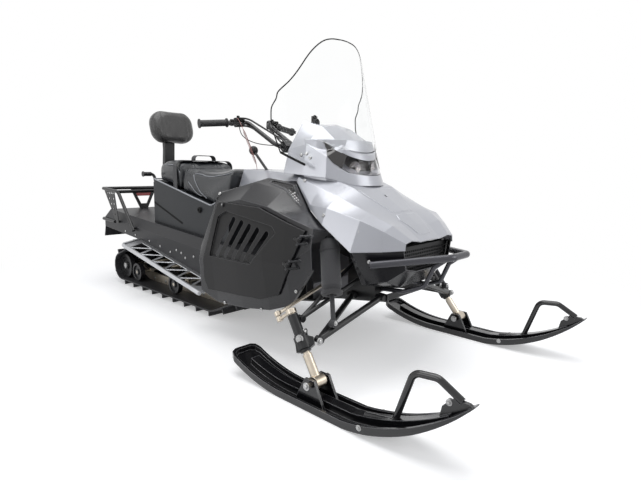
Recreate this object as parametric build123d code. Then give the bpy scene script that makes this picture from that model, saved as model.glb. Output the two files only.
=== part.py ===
from build123d import *
from math import asin, atan2, ceil, cos, degrees, hypot, pi, radians, sin, sqrt, tan
import os

os.makedirs("parts", exist_ok=True)

# Two-seat touring snowmobile, in millimetres.
# +X is forward, +Y is left, +Z is up. The origin is on the ground under the middle of the machine.

GAP = 0.3  # air between pieces that lie against each other
MOVING_GAP = 8.0  # air round a piece that swings

# ---- track and skid -------------------------------------------------------------------------
TRACK_WIDTH = 500.0
BELT = 8.0  # belt thickness
LUG_HEIGHT = 32.0
LUG_LENGTH = 14.0  # of one paddle, along the belt
LUG_PITCH = 64.0
DRIVE_LUG_HEIGHT = 20.0
DRIVE_LUG_Y = 62.0  # row of drive lugs, from the middle
DRIVE_LUG_WIDTH = 28.0
IDLER_X = -1280.0
IDLER_RADIUS = 85.0
TOE_X = -215.0  # where the belt leaves the ground in front
TOE_RADIUS = 150.0
SPROCKET_X = 95.0
SPROCKET_Z = 252.0
SPROCKET_RADIUS = 80.0
DRIVE_WHEEL_INNER = 110.0  # inner drive wheels, from the middle
CARRIER_X = -800.0
CARRIER_Z = 345.0
CARRIER_RADIUS = 60.0
RAIL_Y = 110.0
RAIL_THICKNESS = 16.0
RAIL_HEIGHT = 48.0
WHEEL_Y = 196.0  # outer row of idler wheels
WHEEL_WIDTH = 30.0
BOGIE_X = -1120.0
BOGIE_RADIUS = 62.0
FRONT_BOGIE_X = -640.0
AXLE_RADIUS = 10.0
WHEEL_CLEARANCE = 2.0  # the belt's plates cut the corner of the round
ARM_TUBE_RADIUS = 13.0
SHOCK_FOOT_Z = 80.0
SHOCK_PIN_RADIUS = 8.0
FRONT_ARM_X = -250.0
FRONT_ARM_Z = 262.0
REAR_ARM_X = -690.0
REAR_ARM_Z = 338.0

# ---- tunnel and running boards --------------------------------------------------------------
TUNNEL_REAR_X = -1428.0
TUNNEL_FRONT_X = 240.0
TUNNEL_REAR_Z = 516.0  # top plate at its rear end
TUNNEL_SLOPE = 0.0734  # fall of the top plate per millimetre forward
TUNNEL_HALF = 275.0
TUNNEL_TOP_HALF = 234.0
TUNNEL_CHAMFER = 50.0  # height of the slanted strip under the top plate
TUNNEL_SHEET = 3.0
TAIL_EDGE_Z = 396.0  # lower edge at the rear end
BOARD_REAR_X = -923.0
BOARD_FRONT_X = -24.0
BOARD_REAR_Z = 356.0
BOARD_SLOPE = 0.173
BOARD_OUTER = 420.0  # centre of the outer tube
BOARD_TUBE_RADIUS = 11.0
BOARD_SHEET = 4.0
BOARD_BAYS = 6

# ---- seat, backrest and rack ----------------------------------------------------------------
SEAT_REAR_X = -853.0
SEAT_FRONT_X = -70.0
SEAT_HALF = 205.0
SEAT_PIPING_REAR_Z = 742.0
SEAT_PIPING_FRONT_Z = 612.0
SEAT_SPLIT_X = -560.0
CUSHION_INSET = 8.0  # of the cushions' sides from the base's
CUSHION_ROUND = 38.0
STRAP_X = -600.0
STRAP_WIDTH = 40.0
PASSENGER_TOP_Z = 858.0
DRIVER_DIP_Z = 790.0
SEAT_NOSE_Z = 822.0
HANDLE_X = -890.0
HANDLE_Z = 772.0
HANDLE_TIP_Y = 250.0
LEVER_X = 100.0
PAD_X = -1010.0
PAD_Z = 955.0
PAD_WIDTH = 325.0
PAD_HEIGHT = 240.0
PAD_THICKNESS = 92.0
PAD_LEAN = 14.0  # degrees
PAD_CORNER = 100.0
PAD_ROUND = 26.0
POST_WIDTH = 70.0
RACK_Y = 290.0
RACK_REAR_X = -1400.0
RACK_BEND_X = -1174.0
RACK_FOOT_X = -972.0
RACK_TUBE_RADIUS = 11.0
RACK_TOP_Z = 664.0
FLAP_SHEET = 8.0
REAR_BUMPER_REACH = 178.0  # of its ends, ahead of the tunnel's end
BRACKET_HALF = 3.0  # half thickness of the rack's middle bracket
HOOK_HOLE = 6.0  # lashing hook's hole in the rack's side plate

# ---- front body -----------------------------------------------------------------------------
HOOD_WALL = 4.0
HINGE_PIN = 4.0
HINGE_OFFSET = 16.0  # of the panel's hinge line over the panel's face
BUSH_RADIUS = 13.0
BUSH_LENGTH = 40.0
COWL_WALL = 5.0
PANEL_RISE = 12.0  # service panel's outer face over the cowl
PANEL_WALL = 6.0
FIELD_DEPTH = 10.0  # of the panel's sunken field
SLOT_HALF = 12.0  # half width of the panel's slots
NOSE_X = 1000.0
BELLY_FRONT_X = 572.0
BELLY_REAR_Z = 190.0
BELLY_FRONT_Z = 240.0
ENGINE_HALF = 195.0
FRAME_REAR_X = 700.0
NOSE_REAR_X = 842.0
FRAME_HALF = 150.0
FRAME_CROSS_X = 765.0  # cross plate that holds the steering column
FRAME_PLATE = 6.0
LAMP_RADIUS = 200.0  # of the lamp housing's round front
LAMP_HALF = 182.0
LAMP_LOW_X = 718.0  # foremost point at the foot
LAMP_LOW_Z = 750.0
LAMP_HIGH_X = 641.0
LAMP_HIGH_Z = 945.0
LAMP_DEPTH = 46.0  # of the hollow behind the lens
LAMP_SHEET = 4.0
SCREEN_RADIUS = 296.0
SCREEN_SHEET = 4.0
SCREEN_FRONT_X = 672.0  # foremost point at the foot
SCREEN_FOOT_Z = 820.0
SCREEN_RAKE = -0.259  # forward shift per millimetre of height
SCREEN_TOP_Z = 1382.0

# ---- front suspension, steering and skis ----------------------------------------------------
SKI_STANCE = 1060.0
SKI_PIVOT_X = 884.0
SKI_PIVOT_Z = 80.0
SKI_WIDTH = 137.0
SKI_TIP_X = 1464.0
SKI_TIP_Z = 211.0
SKI_TAIL_X = 462.0
SKI_TAIL_Z = 70.0
SKI_SHEET = 8.0
SKI_WALL = 10.0
SKI_DEPTH = 26.0  # height of the side walls
SKI_RIDGE = 34.0  # height of the middle ridge
SKI_RIDGE_HALF = 20.0
SKI_TIP_HALF = 14.0  # half width at the tip
KINGPIN_TOP_X = 725.0
KINGPIN_TOP_Z = 295.0
KINGPIN_LEAN = 22.0  # how far in the kingpin's top lies from the ski's middle
KINGPIN_RADIUS = 13.0
HOUSING_WALL = 7.0
STEERING_ARM = 72.0
BALL_RADIUS = 6.0
TIE_ROD_INNER = 27.0  # inner end, from the middle
SADDLE_HALF = 24.0  # half width of the spindle's foot
SKI_BOLT = 8.0
LOWER_ARM_RADIUS = 12.0
ARM_BOLT_X = 828.0
ARM_BOLT_Y = 491.0
ARM_BOLT_Z = 206.0
BAR_X = 150.0
BAR_Z = 930.0
COLUMN_FOOT_X = 705.0
COLUMN_FOOT_Z = 457.0
COLUMN_RADIUS = 14.0
PITMAN_PLATE = 8.0
PITMAN_REACH = 62.0  # of the column's arm, behind its foot
GRIP_X = -107.0
GRIP_Z = 1050.0
GRIP_INNER = 163.0
GRIP_LENGTH = 150.0
GRIP_RADIUS = 17.0
BAR_RADIUS = 11.0
BAR_INNER_STRETCH = 98.0  # straight bar between the grip and the bend
BAR_STRAIGHT = 62.0  # half of the straight stretch in the clamp


# ---- helpers --------------------------------------------------------------------------------
def mirrored(shape):
    """The same piece on the left side."""
    return mirror(shape, about=Plane.XZ)


def side_prism(points, y_low, y_high):
    """A plate with an outline of (x, z) points, from y_low to y_high."""
    plane = Plane(origin=(0, y_high, 0), x_dir=(1, 0, 0), z_dir=(0, -1, 0))
    return extrude(plane * make_face(Polyline(*points, close=True)), amount=y_high - y_low, dir=(0, -1, 0))


def front_prism(points, x_low, x_high):
    """A plate with an outline of (y, z) points, from x_low to x_high."""
    plane = Plane(origin=(x_low, 0, 0), x_dir=(0, 1, 0), z_dir=(1, 0, 0))
    return extrude(plane * make_face(Polyline(*points, close=True)), amount=x_high - x_low, dir=(1, 0, 0))


def rod(start, end, radius):
    """A round bar between two points."""
    start, end = Vector(start), Vector(end)
    return extrude(Plane(origin=start, z_dir=end - start) * Circle(radius), amount=(end - start).length)


def turned(start, direction, profile):
    """A solid turned about a line: profile is corners of (distance along the line, radius)."""
    corners = [(0, profile[0][0])] + [(radius, reach) for reach, radius in profile] + [(0, profile[-1][0])]
    face = make_face(Plane.XZ * Polyline(*corners, close=True))
    return Plane(origin=start, z_dir=direction) * revolve(face, Axis.Z)


def cross_rod(x, z, radius, y_low, y_high):
    """A round bar across the machine."""
    return rod((x, y_low, z), (x, y_high, z), radius)


def wheel(x, z, radius, bore, y, width):
    """A disc across the machine with a bore."""
    return cross_rod(x, z, radius, y - width / 2, y + width / 2) - cross_rod(x, z, bore, y - width, y + width)


def tube(points, radius, bend):
    """A bent round tube along straight runs joined by arcs of one bend radius."""
    path = FilletPolyline(*points, radius=bend)
    return sweep(Plane(origin=path @ 0, z_dir=path % 0) * Circle(radius), path=path)


def banded(profile, wall):
    """A sheet's closed outline: an open profile of 2D points and the same moved left by the wall."""
    moved = []
    for k, (u, v) in enumerate(profile):
        near = profile[max(k - 1, 0)]
        far = profile[min(k + 1, len(profile) - 1)]
        first = Vector(u - near[0], v - near[1]).normalized() if k else None
        last = Vector(far[0] - u, far[1] - v).normalized() if k < len(profile) - 1 else first
        first = first or last
        left = Vector(-first.Y - last.Y, first.X + last.X)
        left = left / (1 + first.X * last.X + first.Y * last.Y)
        moved.append((u + wall * left.X, v + wall * left.Y))
    return profile + moved[::-1]


def station_loft(stations):
    """A solid through closed outlines of (y, z) points at x stations, straight from one to the next."""
    faces = [make_face(Polyline(*[(x, y, z) for y, z in points], close=True)) for x, points in stations]
    return loft(faces, ruled=True)


def both_sides(half):
    """A full profile from a right half of (y, z) points that starts at the middle."""
    left = [(-y, z) for y, z in half if y != 0]
    return half[::-1] + left


def both(half):
    """The right piece and its mirror image, as solids of one node."""
    return Compound(children=half.solids() + mirrored(half).solids())


def write(name, shape):
    """One node, one file."""
    solids = shape.solids() if hasattr(shape, "solids") else [s for piece in shape for s in piece.solids()]
    export_step(solids[0] if len(solids) == 1 else Compound(children=solids), f"parts/{name}.step")


# ---- lines that several pieces share --------------------------------------------------------
def tunnel_top(x):
    return TUNNEL_REAR_Z - TUNNEL_SLOPE * (x - TUNNEL_REAR_X)


def board_line(x):
    return BOARD_REAR_Z - BOARD_SLOPE * (x - BOARD_REAR_X)


BELT_OUT = BELT + LUG_HEIGHT
IDLER_Z = BELT_OUT + IDLER_RADIUS


# ---- track ----------------------------------------------------------------------------------
# Round pieces that the belt's inner face runs on, in order round the loop: x, z, radius.
TRACK_ROUNDS = [
    (IDLER_X, IDLER_Z, IDLER_RADIUS),
    (TOE_X, BELT_OUT + TOE_RADIUS, TOE_RADIUS),
    (SPROCKET_X, SPROCKET_Z, SPROCKET_RADIUS),
    (CARRIER_X, CARRIER_Z, CARRIER_RADIUS),
]


def loop_normals():
    """Outward normal of each straight run, as an angle in the XZ plane."""
    angles = []
    for k, (x, z, r) in enumerate(TRACK_ROUNDS):
        x2, z2, r2 = TRACK_ROUNDS[(k + 1) % len(TRACK_ROUNDS)]
        reach = hypot(x2 - x, z2 - z)
        angles.append(atan2(z2 - z, x2 - x) - pi / 2 + asin((r - r2) / reach))
    return angles


def loop_runs():
    """Straight runs and arcs of the loop: length, then what is needed to walk along it."""
    normals = loop_normals()
    runs = []
    for k, (x, z, r) in enumerate(TRACK_ROUNDS):
        x2, z2, r2 = TRACK_ROUNDS[(k + 1) % len(TRACK_ROUNDS)]
        n = normals[k]
        start = (x + r * cos(n), z + r * sin(n))
        end = (x2 + r2 * cos(n), z2 + r2 * sin(n))
        runs.append((hypot(end[0] - start[0], end[1] - start[1]), "line", start, end, n))
        turn = (normals[(k + 1) % len(TRACK_ROUNDS)] - n) % (2 * pi)
        runs.append((turn * r2, "arc", (x2, z2), r2, n))
    return runs


def loop_at(s, out):
    """The point at length s along the belt's inner face, moved outward."""
    for length, kind, first, second, n in loop_runs():
        if s > length:
            s -= length
            continue
        if kind == "line":
            t = s / length
            x = first[0] + (second[0] - first[0]) * t + out * cos(n)
            z = first[1] + (second[1] - first[1]) * t + out * sin(n)
            return x, z
        angle = n + s / second
        return first[0] + (second + out) * cos(angle), first[1] + (second + out) * sin(angle)
    return loop_at(0, out)


def track_slab(y_low, y_high, phase, drive):
    """A strip of the belt: paddles on every second pitch from a phase, and drive lugs inside."""
    total = sum(run[0] for run in loop_runs())
    count = 2 * round(total / LUG_PITCH / 2)
    step = total / count
    outer, inner = [], []
    for k in range(count):
        middle = (k + 0.5) * step
        foot = LUG_LENGTH / 2
        outer.append(loop_at(k * step, BELT))
        if phase is None or k % 2 != phase:
            outer.append(loop_at(middle, BELT))
        else:
            outer += [loop_at(middle - foot, BELT), loop_at(middle - foot / 2, BELT_OUT)]
            outer += [loop_at(middle + foot / 2, BELT_OUT), loop_at(middle + foot, BELT)]
        inner.append(loop_at(k * step, 0))
        if drive:
            inner += [loop_at(middle - foot, 0), loop_at(middle - foot, -DRIVE_LUG_HEIGHT)]
            inner += [loop_at(middle + foot, -DRIVE_LUG_HEIGHT), loop_at(middle + foot, 0)]
        else:
            inner.append(loop_at(middle, 0))
    return side_prism(outer, y_low, y_high) - side_prism(inner, y_low, y_high)


def track():
    """Rubber belt with staggered paddles and two rows of drive lugs."""
    half = TRACK_WIDTH / 2
    low, high = DRIVE_LUG_Y - DRIVE_LUG_WIDTH / 2, DRIVE_LUG_Y + DRIVE_LUG_WIDTH / 2
    edge = half - 12
    # y from, y to, paddle phase, drive lugs
    strips = [
        (high + 6, edge, 0, False),
        (low, high, None, True),
        (-low, low, 1, False),
        (-high, -low, None, True),
        (-edge, -high - 6, 0, False),
    ]
    belt = track_slab(-half, half, None, False)
    return belt + [track_slab(*strip) for strip in strips]


def idler_wheels():
    """Rear idlers, bogie wheels and carrier wheels, in pairs on their axles."""
    # x, z, radius, distance of the wheel from the middle
    wheels = [
        (IDLER_X, IDLER_Z, IDLER_RADIUS, WHEEL_Y),
        (BOGIE_X, BELT_OUT + BOGIE_RADIUS, BOGIE_RADIUS, WHEEL_Y),
        (FRONT_BOGIE_X, BELT_OUT + BOGIE_RADIUS, BOGIE_RADIUS, WHEEL_Y),
        (CARRIER_X, CARRIER_Z, CARRIER_RADIUS, WHEEL_Y),
    ]
    pieces = []
    for x, z, radius, y in wheels:
        rim = radius - WHEEL_CLEARANCE
        for side in (-1, 1):
            disc = wheel(x, z, rim, AXLE_RADIUS, side * y, WHEEL_WIDTH)
            dish = wheel(x, z, rim * 0.78, rim * 0.35, side * (y + WHEEL_WIDTH * 0.7), WHEEL_WIDTH)
            pieces.append(disc - dish)
    return pieces


def slide_rails():
    """Two rails on the belt's ground run, with the skid's axles through them."""
    start = IDLER_X - 30
    top = BELT_OUT + RAIL_HEIGHT
    profile = [
        (start, IDLER_Z + 22),
        (start + 60, IDLER_Z + 22),
        (start + 190, top + 6),
        (TOE_X - 40, top),
        (TOE_X + 70, BELT_OUT + TOE_RADIUS * 0.62),
        (TOE_X + 84, BELT_OUT + TOE_RADIUS * 0.42),
        (TOE_X + 50, BELT_OUT + TOE_RADIUS * 0.15),
        (TOE_X - 10, BELT_OUT + GAP),
        (start + 190, BELT_OUT + GAP),
        (start, IDLER_Z - 22),
    ]
    pieces = []
    for side in (-RAIL_Y, RAIL_Y):
        low, high = side - RAIL_THICKNESS / 2, side + RAIL_THICKNESS / 2
        pieces.append(side_prism(profile, low, high))
    skid = pieces[0] + pieces[1]
    reach = WHEEL_Y + WHEEL_WIDTH / 2
    axles = [
        (IDLER_X, IDLER_Z),
        (BOGIE_X, BELT_OUT + BOGIE_RADIUS),
        (FRONT_BOGIE_X, BELT_OUT + BOGIE_RADIUS),
    ]
    for x, z in axles:
        skid += cross_rod(x, z, AXLE_RADIUS, -reach, reach)
    for x, z in axles[1:]:
        ear = [(x - 40, top - 6), (x + 40, top - 6), (x + 18, z + AXLE_RADIUS + 6), (x - 18, z + AXLE_RADIUS + 6)]
        for side in (-RAIL_Y, RAIL_Y):
            skid += side_prism(ear, side - RAIL_THICKNESS / 2, side + RAIL_THICKNESS / 2)
    for x, z, foot_x, shock_x in SKID_ARMS:
        skid += cross_rod(shock_x, SHOCK_FOOT_Z, SHOCK_PIN_RADIUS, -RAIL_Y, RAIL_Y)
    return skid


# shaft x, z at the tunnel, foot x of the arm and of the damper
SKID_ARMS = [
    (FRONT_ARM_X, FRONT_ARM_Z, FRONT_ARM_X - 260, FRONT_ARM_X - 150),
    (REAR_ARM_X, REAR_ARM_Z, REAR_ARM_X - 330, REAR_ARM_X - 250),
]


def skid_arm(x, z, foot_x, shock_x):
    """An H of tubes from the tunnel's walls to the rails, with the coil damper between them."""
    wall = TUNNEL_HALF - TUNNEL_SHEET
    inner = RAIL_Y - RAIL_THICKNESS / 2
    foot_z = BELT_OUT + RAIL_HEIGHT / 2
    arm = cross_rod(x, z, AXLE_RADIUS, -wall, wall) + cross_rod(foot_x, foot_z, AXLE_RADIUS, -inner, inner)
    for side in (-1, 1):
        arm += rod((x, side * 84, z), (foot_x, side * 84, foot_z), ARM_TUBE_RADIUS)
    along = Vector(shock_x - x, 0, SHOCK_FOOT_Z - z)
    reach = along.length
    coils = [(0, 14), (34, 14), (34, 30)]
    for k in range(7):
        coils += [(46 + 14 * k, 30), (53 + 14 * k, 24)]
    arm += turned((x, 0, z), along, coils + [(150, 24), (150, 8), (reach, 8)])
    eye = cross_rod(shock_x, SHOCK_FOOT_Z, SHOCK_PIN_RADIUS + 8, -16, 16)
    return (arm + eye) - cross_rod(shock_x, SHOCK_FOOT_Z, SHOCK_PIN_RADIUS + GAP, -20, 20)


def skid_suspension():
    """Front and rear arm of the skid, and the carrier wheels' shaft."""
    wall = TUNNEL_HALF - TUNNEL_SHEET
    pieces = [piece for row in SKID_ARMS for piece in skid_arm(*row).solids()]
    return Compound(children=pieces + cross_rod(CARRIER_X, CARRIER_Z, AXLE_RADIUS, -wall, wall).solids())


def drive_axle():
    """Shaft across the tunnel's front with the four drive wheels, whose tips run between the drive lugs."""
    wall = TUNNEL_HALF - TUNNEL_SHEET
    axle = cross_rod(SPROCKET_X, SPROCKET_Z, AXLE_RADIUS, -wall, wall)
    rim = SPROCKET_RADIUS - WHEEL_CLEARANCE
    for side in (-1, 1):
        for y in (DRIVE_WHEEL_INNER, WHEEL_Y):
            low, high = side * y - WHEEL_WIDTH / 2, side * y + WHEEL_WIDTH / 2
            axle += cross_rod(SPROCKET_X, SPROCKET_Z, rim, low, high)
    return axle


# ---- tunnel and running boards --------------------------------------------------------------
def tunnel():
    """Folded sheet over the track: top plate, slanted strips, side walls and front wall."""

    def outline(x, low, inset):
        top = tunnel_top(x) - inset
        half = TUNNEL_HALF - inset
        shelf = TUNNEL_TOP_HALF - inset * 0.6
        knee = top - TUNNEL_CHAMFER + inset * 0.4
        return [(-half, low), (half, low), (half, knee), (shelf, top), (-shelf, top), (-half, knee)]

    # x, lower edge
    edges = [(TUNNEL_REAR_X, TAIL_EDGE_Z), (BOARD_REAR_X, BOARD_REAR_Z), (TUNNEL_FRONT_X, board_line(TUNNEL_FRONT_X))]
    outer = station_loft([(x, outline(x, low, 0)) for x, low in edges])
    open_edges = [
        (TUNNEL_REAR_X - 5, TAIL_EDGE_Z - 5),
        (BOARD_REAR_X, BOARD_REAR_Z - 5),
        (TUNNEL_FRONT_X - TUNNEL_SHEET, board_line(TUNNEL_FRONT_X) - 5),
    ]
    return outer - station_loft([(x, outline(x, low, TUNNEL_SHEET)) for x, low in open_edges])


def running_board():
    """Right foot board: pierced plate with an outer tube that closes its rear corner."""
    length = (BOARD_FRONT_X - BOARD_REAR_X) * sqrt(1 + BOARD_SLOPE**2)
    plane = Plane(
        origin=(BOARD_REAR_X, 0, BOARD_REAR_Z), x_dir=(1, 0, -BOARD_SLOPE), z_dir=(BOARD_SLOPE, 0, 1)
    )
    inner = -TUNNEL_HALF
    corner = 66.0
    outline = [(0, inner), (length, inner), (length, -BOARD_OUTER), (corner, -BOARD_OUTER), (0, inner - 20)]
    plate = extrude(plane * make_face(Polyline(*outline, close=True)), amount=BOARD_SHEET)
    rim = 24.0
    bay = (length - corner - rim) / BOARD_BAYS
    near, far = inner - rim, -BOARD_OUTER + BOARD_TUBE_RADIUS + 8
    for k in range(BOARD_BAYS):
        u = corner + k * bay
        inward = [(u + 8, near), (u + bay - 14, near), (u + bay / 2 - 3, far)]
        outward = [(u + bay / 2 + 10, far), (u + bay * 1.5 - 16, far), (u + bay - 3, near)]
        for hole in (inward, outward)[: 2 if k < BOARD_BAYS - 1 else 1]:
            plate -= extrude(plane * make_face(Polyline(*hole, close=True)), amount=BOARD_SHEET)
    middle = BOARD_SHEET / 2
    route = [(BOARD_TUBE_RADIUS, inner - BOARD_TUBE_RADIUS), (corner, -BOARD_OUTER), (length, -BOARD_OUTER)]
    points = [plane.from_local_coords((u, v, middle)) for u, v in route]
    return plate + tube(points, BOARD_TUBE_RADIUS, 40)


# ---- seat -----------------------------------------------------------------------------------
def piping_z(x):
    share = (x - SEAT_REAR_X) / (SEAT_FRONT_X - SEAT_REAR_X)
    return SEAT_PIPING_REAR_Z + (SEAT_PIPING_FRONT_Z - SEAT_PIPING_REAR_Z) * min(share / 0.8, 1)


def seat_base():
    """Moulded box under the cushions, standing on the tunnel's top plate."""
    bend_x = SEAT_REAR_X + 0.8 * (SEAT_FRONT_X - SEAT_REAR_X)
    profile = [
        (SEAT_REAR_X, tunnel_top(SEAT_REAR_X)),
        (SEAT_FRONT_X, tunnel_top(SEAT_FRONT_X)),
        (SEAT_FRONT_X, SEAT_PIPING_FRONT_Z + 60),
        (bend_x, SEAT_PIPING_FRONT_Z),
        (SEAT_REAR_X + 22, piping_z(SEAT_REAR_X + 22)),
        (SEAT_REAR_X, piping_z(SEAT_REAR_X) - 20),
    ]
    return side_prism(profile, -SEAT_HALF, SEAT_HALF)


def cushion(rear, front, rear_top, middle_top, front_top):
    """A padded block on the seat base with a curved top."""
    bend_x = SEAT_REAR_X + 0.8 * (SEAT_FRONT_X - SEAT_REAR_X)
    lift = GAP
    low = [(rear, piping_z(rear) + lift)]
    if rear < bend_x < front:
        low.append((bend_x, SEAT_PIPING_FRONT_Z + lift))
        share = (front - bend_x) / (SEAT_FRONT_X - bend_x)
        low.append((front, SEAT_PIPING_FRONT_Z + 60 * share + lift))
    else:
        low.append((front, piping_z(front) + lift))
    top = ThreePointArc((front, front_top), ((rear + front) / 2, middle_top), (rear, rear_top))
    outline = Polyline(*low, (front, front_top)) + top + Line((rear, rear_top), low[0])
    half = SEAT_HALF - CUSHION_INSET
    plane = Plane(origin=(0, half, 0), x_dir=(1, 0, 0), z_dir=(0, -1, 0))
    block = extrude(plane * make_face(outline), amount=2 * half, dir=(0, -1, 0))
    return fillet(block.edges().filter_by(GeomType.CIRCLE), CUSHION_ROUND)


def passenger_cushion():
    rear = SEAT_REAR_X + 45
    return cushion(rear, SEAT_SPLIT_X, PASSENGER_TOP_Z - 8, PASSENGER_TOP_Z, PASSENGER_TOP_Z - 12)


def driver_cushion():
    rear = SEAT_SPLIT_X + GAP
    return cushion(rear, SEAT_FRONT_X, PASSENGER_TOP_Z - 34, DRIVER_DIP_Z, SEAT_NOSE_Z)


def seat_strap():
    """Webbing strap over the passenger's end of the seat, with a hand loop on top."""
    foot = piping_z(STRAP_X) + 4
    crown = PASSENGER_TOP_Z - 1
    half = SEAT_HALF - CUSHION_INSET + 1
    middle = (foot - 2 * CUSHION_ROUND + crown) / 2
    outer = RectangleRounded(2 * half + 6, 2 * (crown - middle) + 6, CUSHION_ROUND + 3)
    inner = RectangleRounded(2 * half, 2 * (crown - middle), CUSHION_ROUND)
    band = outer - inner - Pos(0, foot - middle - 50) * Rectangle(3 * half, 100)
    arch = RectangleRounded(150, 60, 26) - RectangleRounded(142, 52, 22)
    arch = Pos(0, crown - middle + 4) * arch - Pos(0, crown - middle - 47) * Rectangle(200, 100)
    plane = Plane(origin=(STRAP_X - STRAP_WIDTH / 2, 0, middle), x_dir=(0, 1, 0), z_dir=(1, 0, 0))
    return extrude(plane * (band + arch), amount=STRAP_WIDTH)


def backrest_pad():
    """Passenger's back cushion, leaning back."""
    block = fillet(Box(PAD_THICKNESS, PAD_WIDTH, PAD_HEIGHT).edges().filter_by(Axis.X), PAD_CORNER)
    block = fillet(block.edges().group_by(Axis.X)[0] + block.edges().group_by(Axis.X)[-1], PAD_ROUND)
    return Pos(PAD_X + 40, 0, PAD_Z + PAD_HEIGHT / 2) * Rot(0, -PAD_LEAN, 0) * block


def pad_rear(z):
    """The back cushion's rear face at a height."""
    lean = radians(PAD_LEAN)
    middle_x = PAD_X + 40 - PAD_THICKNESS / 2 / cos(lean)
    return middle_x - (z - PAD_Z - PAD_HEIGHT / 2) * tan(lean)


def backrest_post():
    """Flat post that carries the back cushion from the tunnel's top plate."""
    foot_x = PAD_X - 46
    foot_z = tunnel_top(foot_x)
    low, high = PAD_Z + 40, PAD_Z + 180
    outline = [
        (foot_x - 90, foot_z + TUNNEL_SLOPE * 90),
        (foot_x + 90, foot_z - TUNNEL_SLOPE * 90),
        (foot_x + 30, foot_z + 40),
        (pad_rear(low) - GAP - 4, low - 60),
        (pad_rear(low) - GAP, low),
        (pad_rear(high) - GAP, high),
        (pad_rear(high) - 14, high),
        (pad_rear(low) - 34, low - 60),
        (foot_x - 18, foot_z + 40),
    ]
    return side_prism(outline, -POST_WIDTH / 2, POST_WIDTH / 2)


def grab_handle():
    """Right hand hold beside the passenger: bent tube on a flange at the seat base's rear."""
    flange_z = piping_z(SEAT_REAR_X) - 50
    inner = SEAT_HALF - 25
    points = [
        (SEAT_REAR_X - 12, -inner, flange_z),
        (HANDLE_X, -inner, HANDLE_Z),
        (HANDLE_X, -HANDLE_TIP_Y, HANDLE_Z),
    ]
    flange = Pos(SEAT_REAR_X - GAP - 4, -inner, flange_z) * Box(8, 40, 50)
    grip_start, tip = Vector(HANDLE_X, 50 - HANDLE_TIP_Y, HANDLE_Z), Vector(HANDLE_X, -HANDLE_TIP_Y, HANDLE_Z)
    sleeve = rod(grip_start, tip, 13) + rod(tip, tip - Vector(0, 5, 0), 17)
    return tube(points, 9, 24) + flange + sleeve


def gear_lever():
    """Lever on its boss, up through the console's slot and back to its round knob."""
    boss = 16
    foot = Vector(LEVER_X, -70, tunnel_top(LEVER_X) + boss * TUNNEL_SLOPE + GAP)
    knob = (-41, -60, 911)
    lever = rod(foot, foot + Vector(0, 0, 24), boss)
    lever += tube([foot + Vector(0, 0, 10), (LEVER_X, -70, 790), knob], 7, 30)
    return lever + Pos(*knob) * Sphere(24)


# ---- rear rack ------------------------------------------------------------------------------
# lightening holes in the side plate: distance behind the bend, distance under the top, radius
RACK_HOLES = [
    (168, 28, 7), (138, 28, 9), (108, 28, 9), (80, 28, 8), (138, 64, 8), (76, 64, 8), (108, 100, 8), (70, 100, 8),
    (86, 134, 7), (54, 134, 7), (54, 168, 6),
]


def rack_side():
    """Right rack side: bent tube and the pierced plate under it."""
    foot_z = tunnel_top(RACK_FOOT_X) - TUNNEL_CHAMFER - 24
    points = [
        (RACK_REAR_X, -RACK_Y, RACK_TOP_Z),
        (RACK_BEND_X, -RACK_Y, RACK_TOP_Z - 14),
        (RACK_FOOT_X, -RACK_Y, foot_z),
    ]
    plate_foot_z = tunnel_top(RACK_BEND_X - 26) - TUNNEL_CHAMFER - 10
    plate = [
        (RACK_REAR_X + 8, RACK_TOP_Z),
        (RACK_BEND_X - 60, RACK_TOP_Z - 8),
        (RACK_BEND_X - 8, plate_foot_z),
        (RACK_BEND_X - 40, plate_foot_z),
    ]
    side = tube(points, RACK_TUBE_RADIUS, 60)
    side += side_prism(plate, -RACK_Y - 2, -RACK_Y + 2)
    for ahead, down, radius in [(107, 64, HOOK_HOLE), *RACK_HOLES]:
        side -= cross_rod(RACK_BEND_X - ahead, RACK_TOP_Z - down, radius, -RACK_Y - 10, -RACK_Y + 10)
    # x, z of each boss that stands on the tunnel wall
    for x, z in ((RACK_BEND_X - 24, plate_foot_z + 12), (RACK_FOOT_X - 8, foot_z + 16)):
        side += cross_rod(x, z, 10, -RACK_Y, -TUNNEL_HALF)
    return side


def rear_rack():
    """Luggage rack over the tunnel's tail: two sides and the cross tubes."""
    rack = rack_side()
    rack += mirrored(rack_side())
    rack += cross_rod(RACK_REAR_X, RACK_TOP_Z, RACK_TUBE_RADIUS, -RACK_Y, RACK_Y)
    rack += cross_rod(RACK_BEND_X, RACK_TOP_Z - 14, RACK_TUBE_RADIUS, -RACK_Y, RACK_Y)
    return rack + rack_bracket()


def rack_bracket():
    """Tapered plate with a window, between the rear cross tube and the tunnel."""
    foot = tunnel_top(RACK_REAR_X - BRACKET_HALF) + GAP
    plate = [(-100, RACK_TOP_Z), (100, RACK_TOP_Z), (30, foot), (-30, foot)]
    window = [(-64, RACK_TOP_Z - 28), (64, RACK_TOP_Z - 28), (22, foot + 34), (-22, foot + 34)]
    span = (RACK_REAR_X - BRACKET_HALF, RACK_REAR_X + BRACKET_HALF)
    return front_prism(plate, *span) - front_prism(window, span[0] - 5, span[1] + 5)


def rear_bumper():
    """Low tube round the tunnel's end."""
    z = tunnel_top(TUNNEL_REAR_X) - TUNNEL_CHAMFER - 14
    rear = TUNNEL_REAR_X - 25
    y = TUNNEL_HALF + 11
    front = TUNNEL_REAR_X + REAR_BUMPER_REACH
    points = [(front, -y, z - 8), (rear, -y, z), (rear, y, z), (front, y, z - 8)]
    return tube(points, 10, 30)


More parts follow.
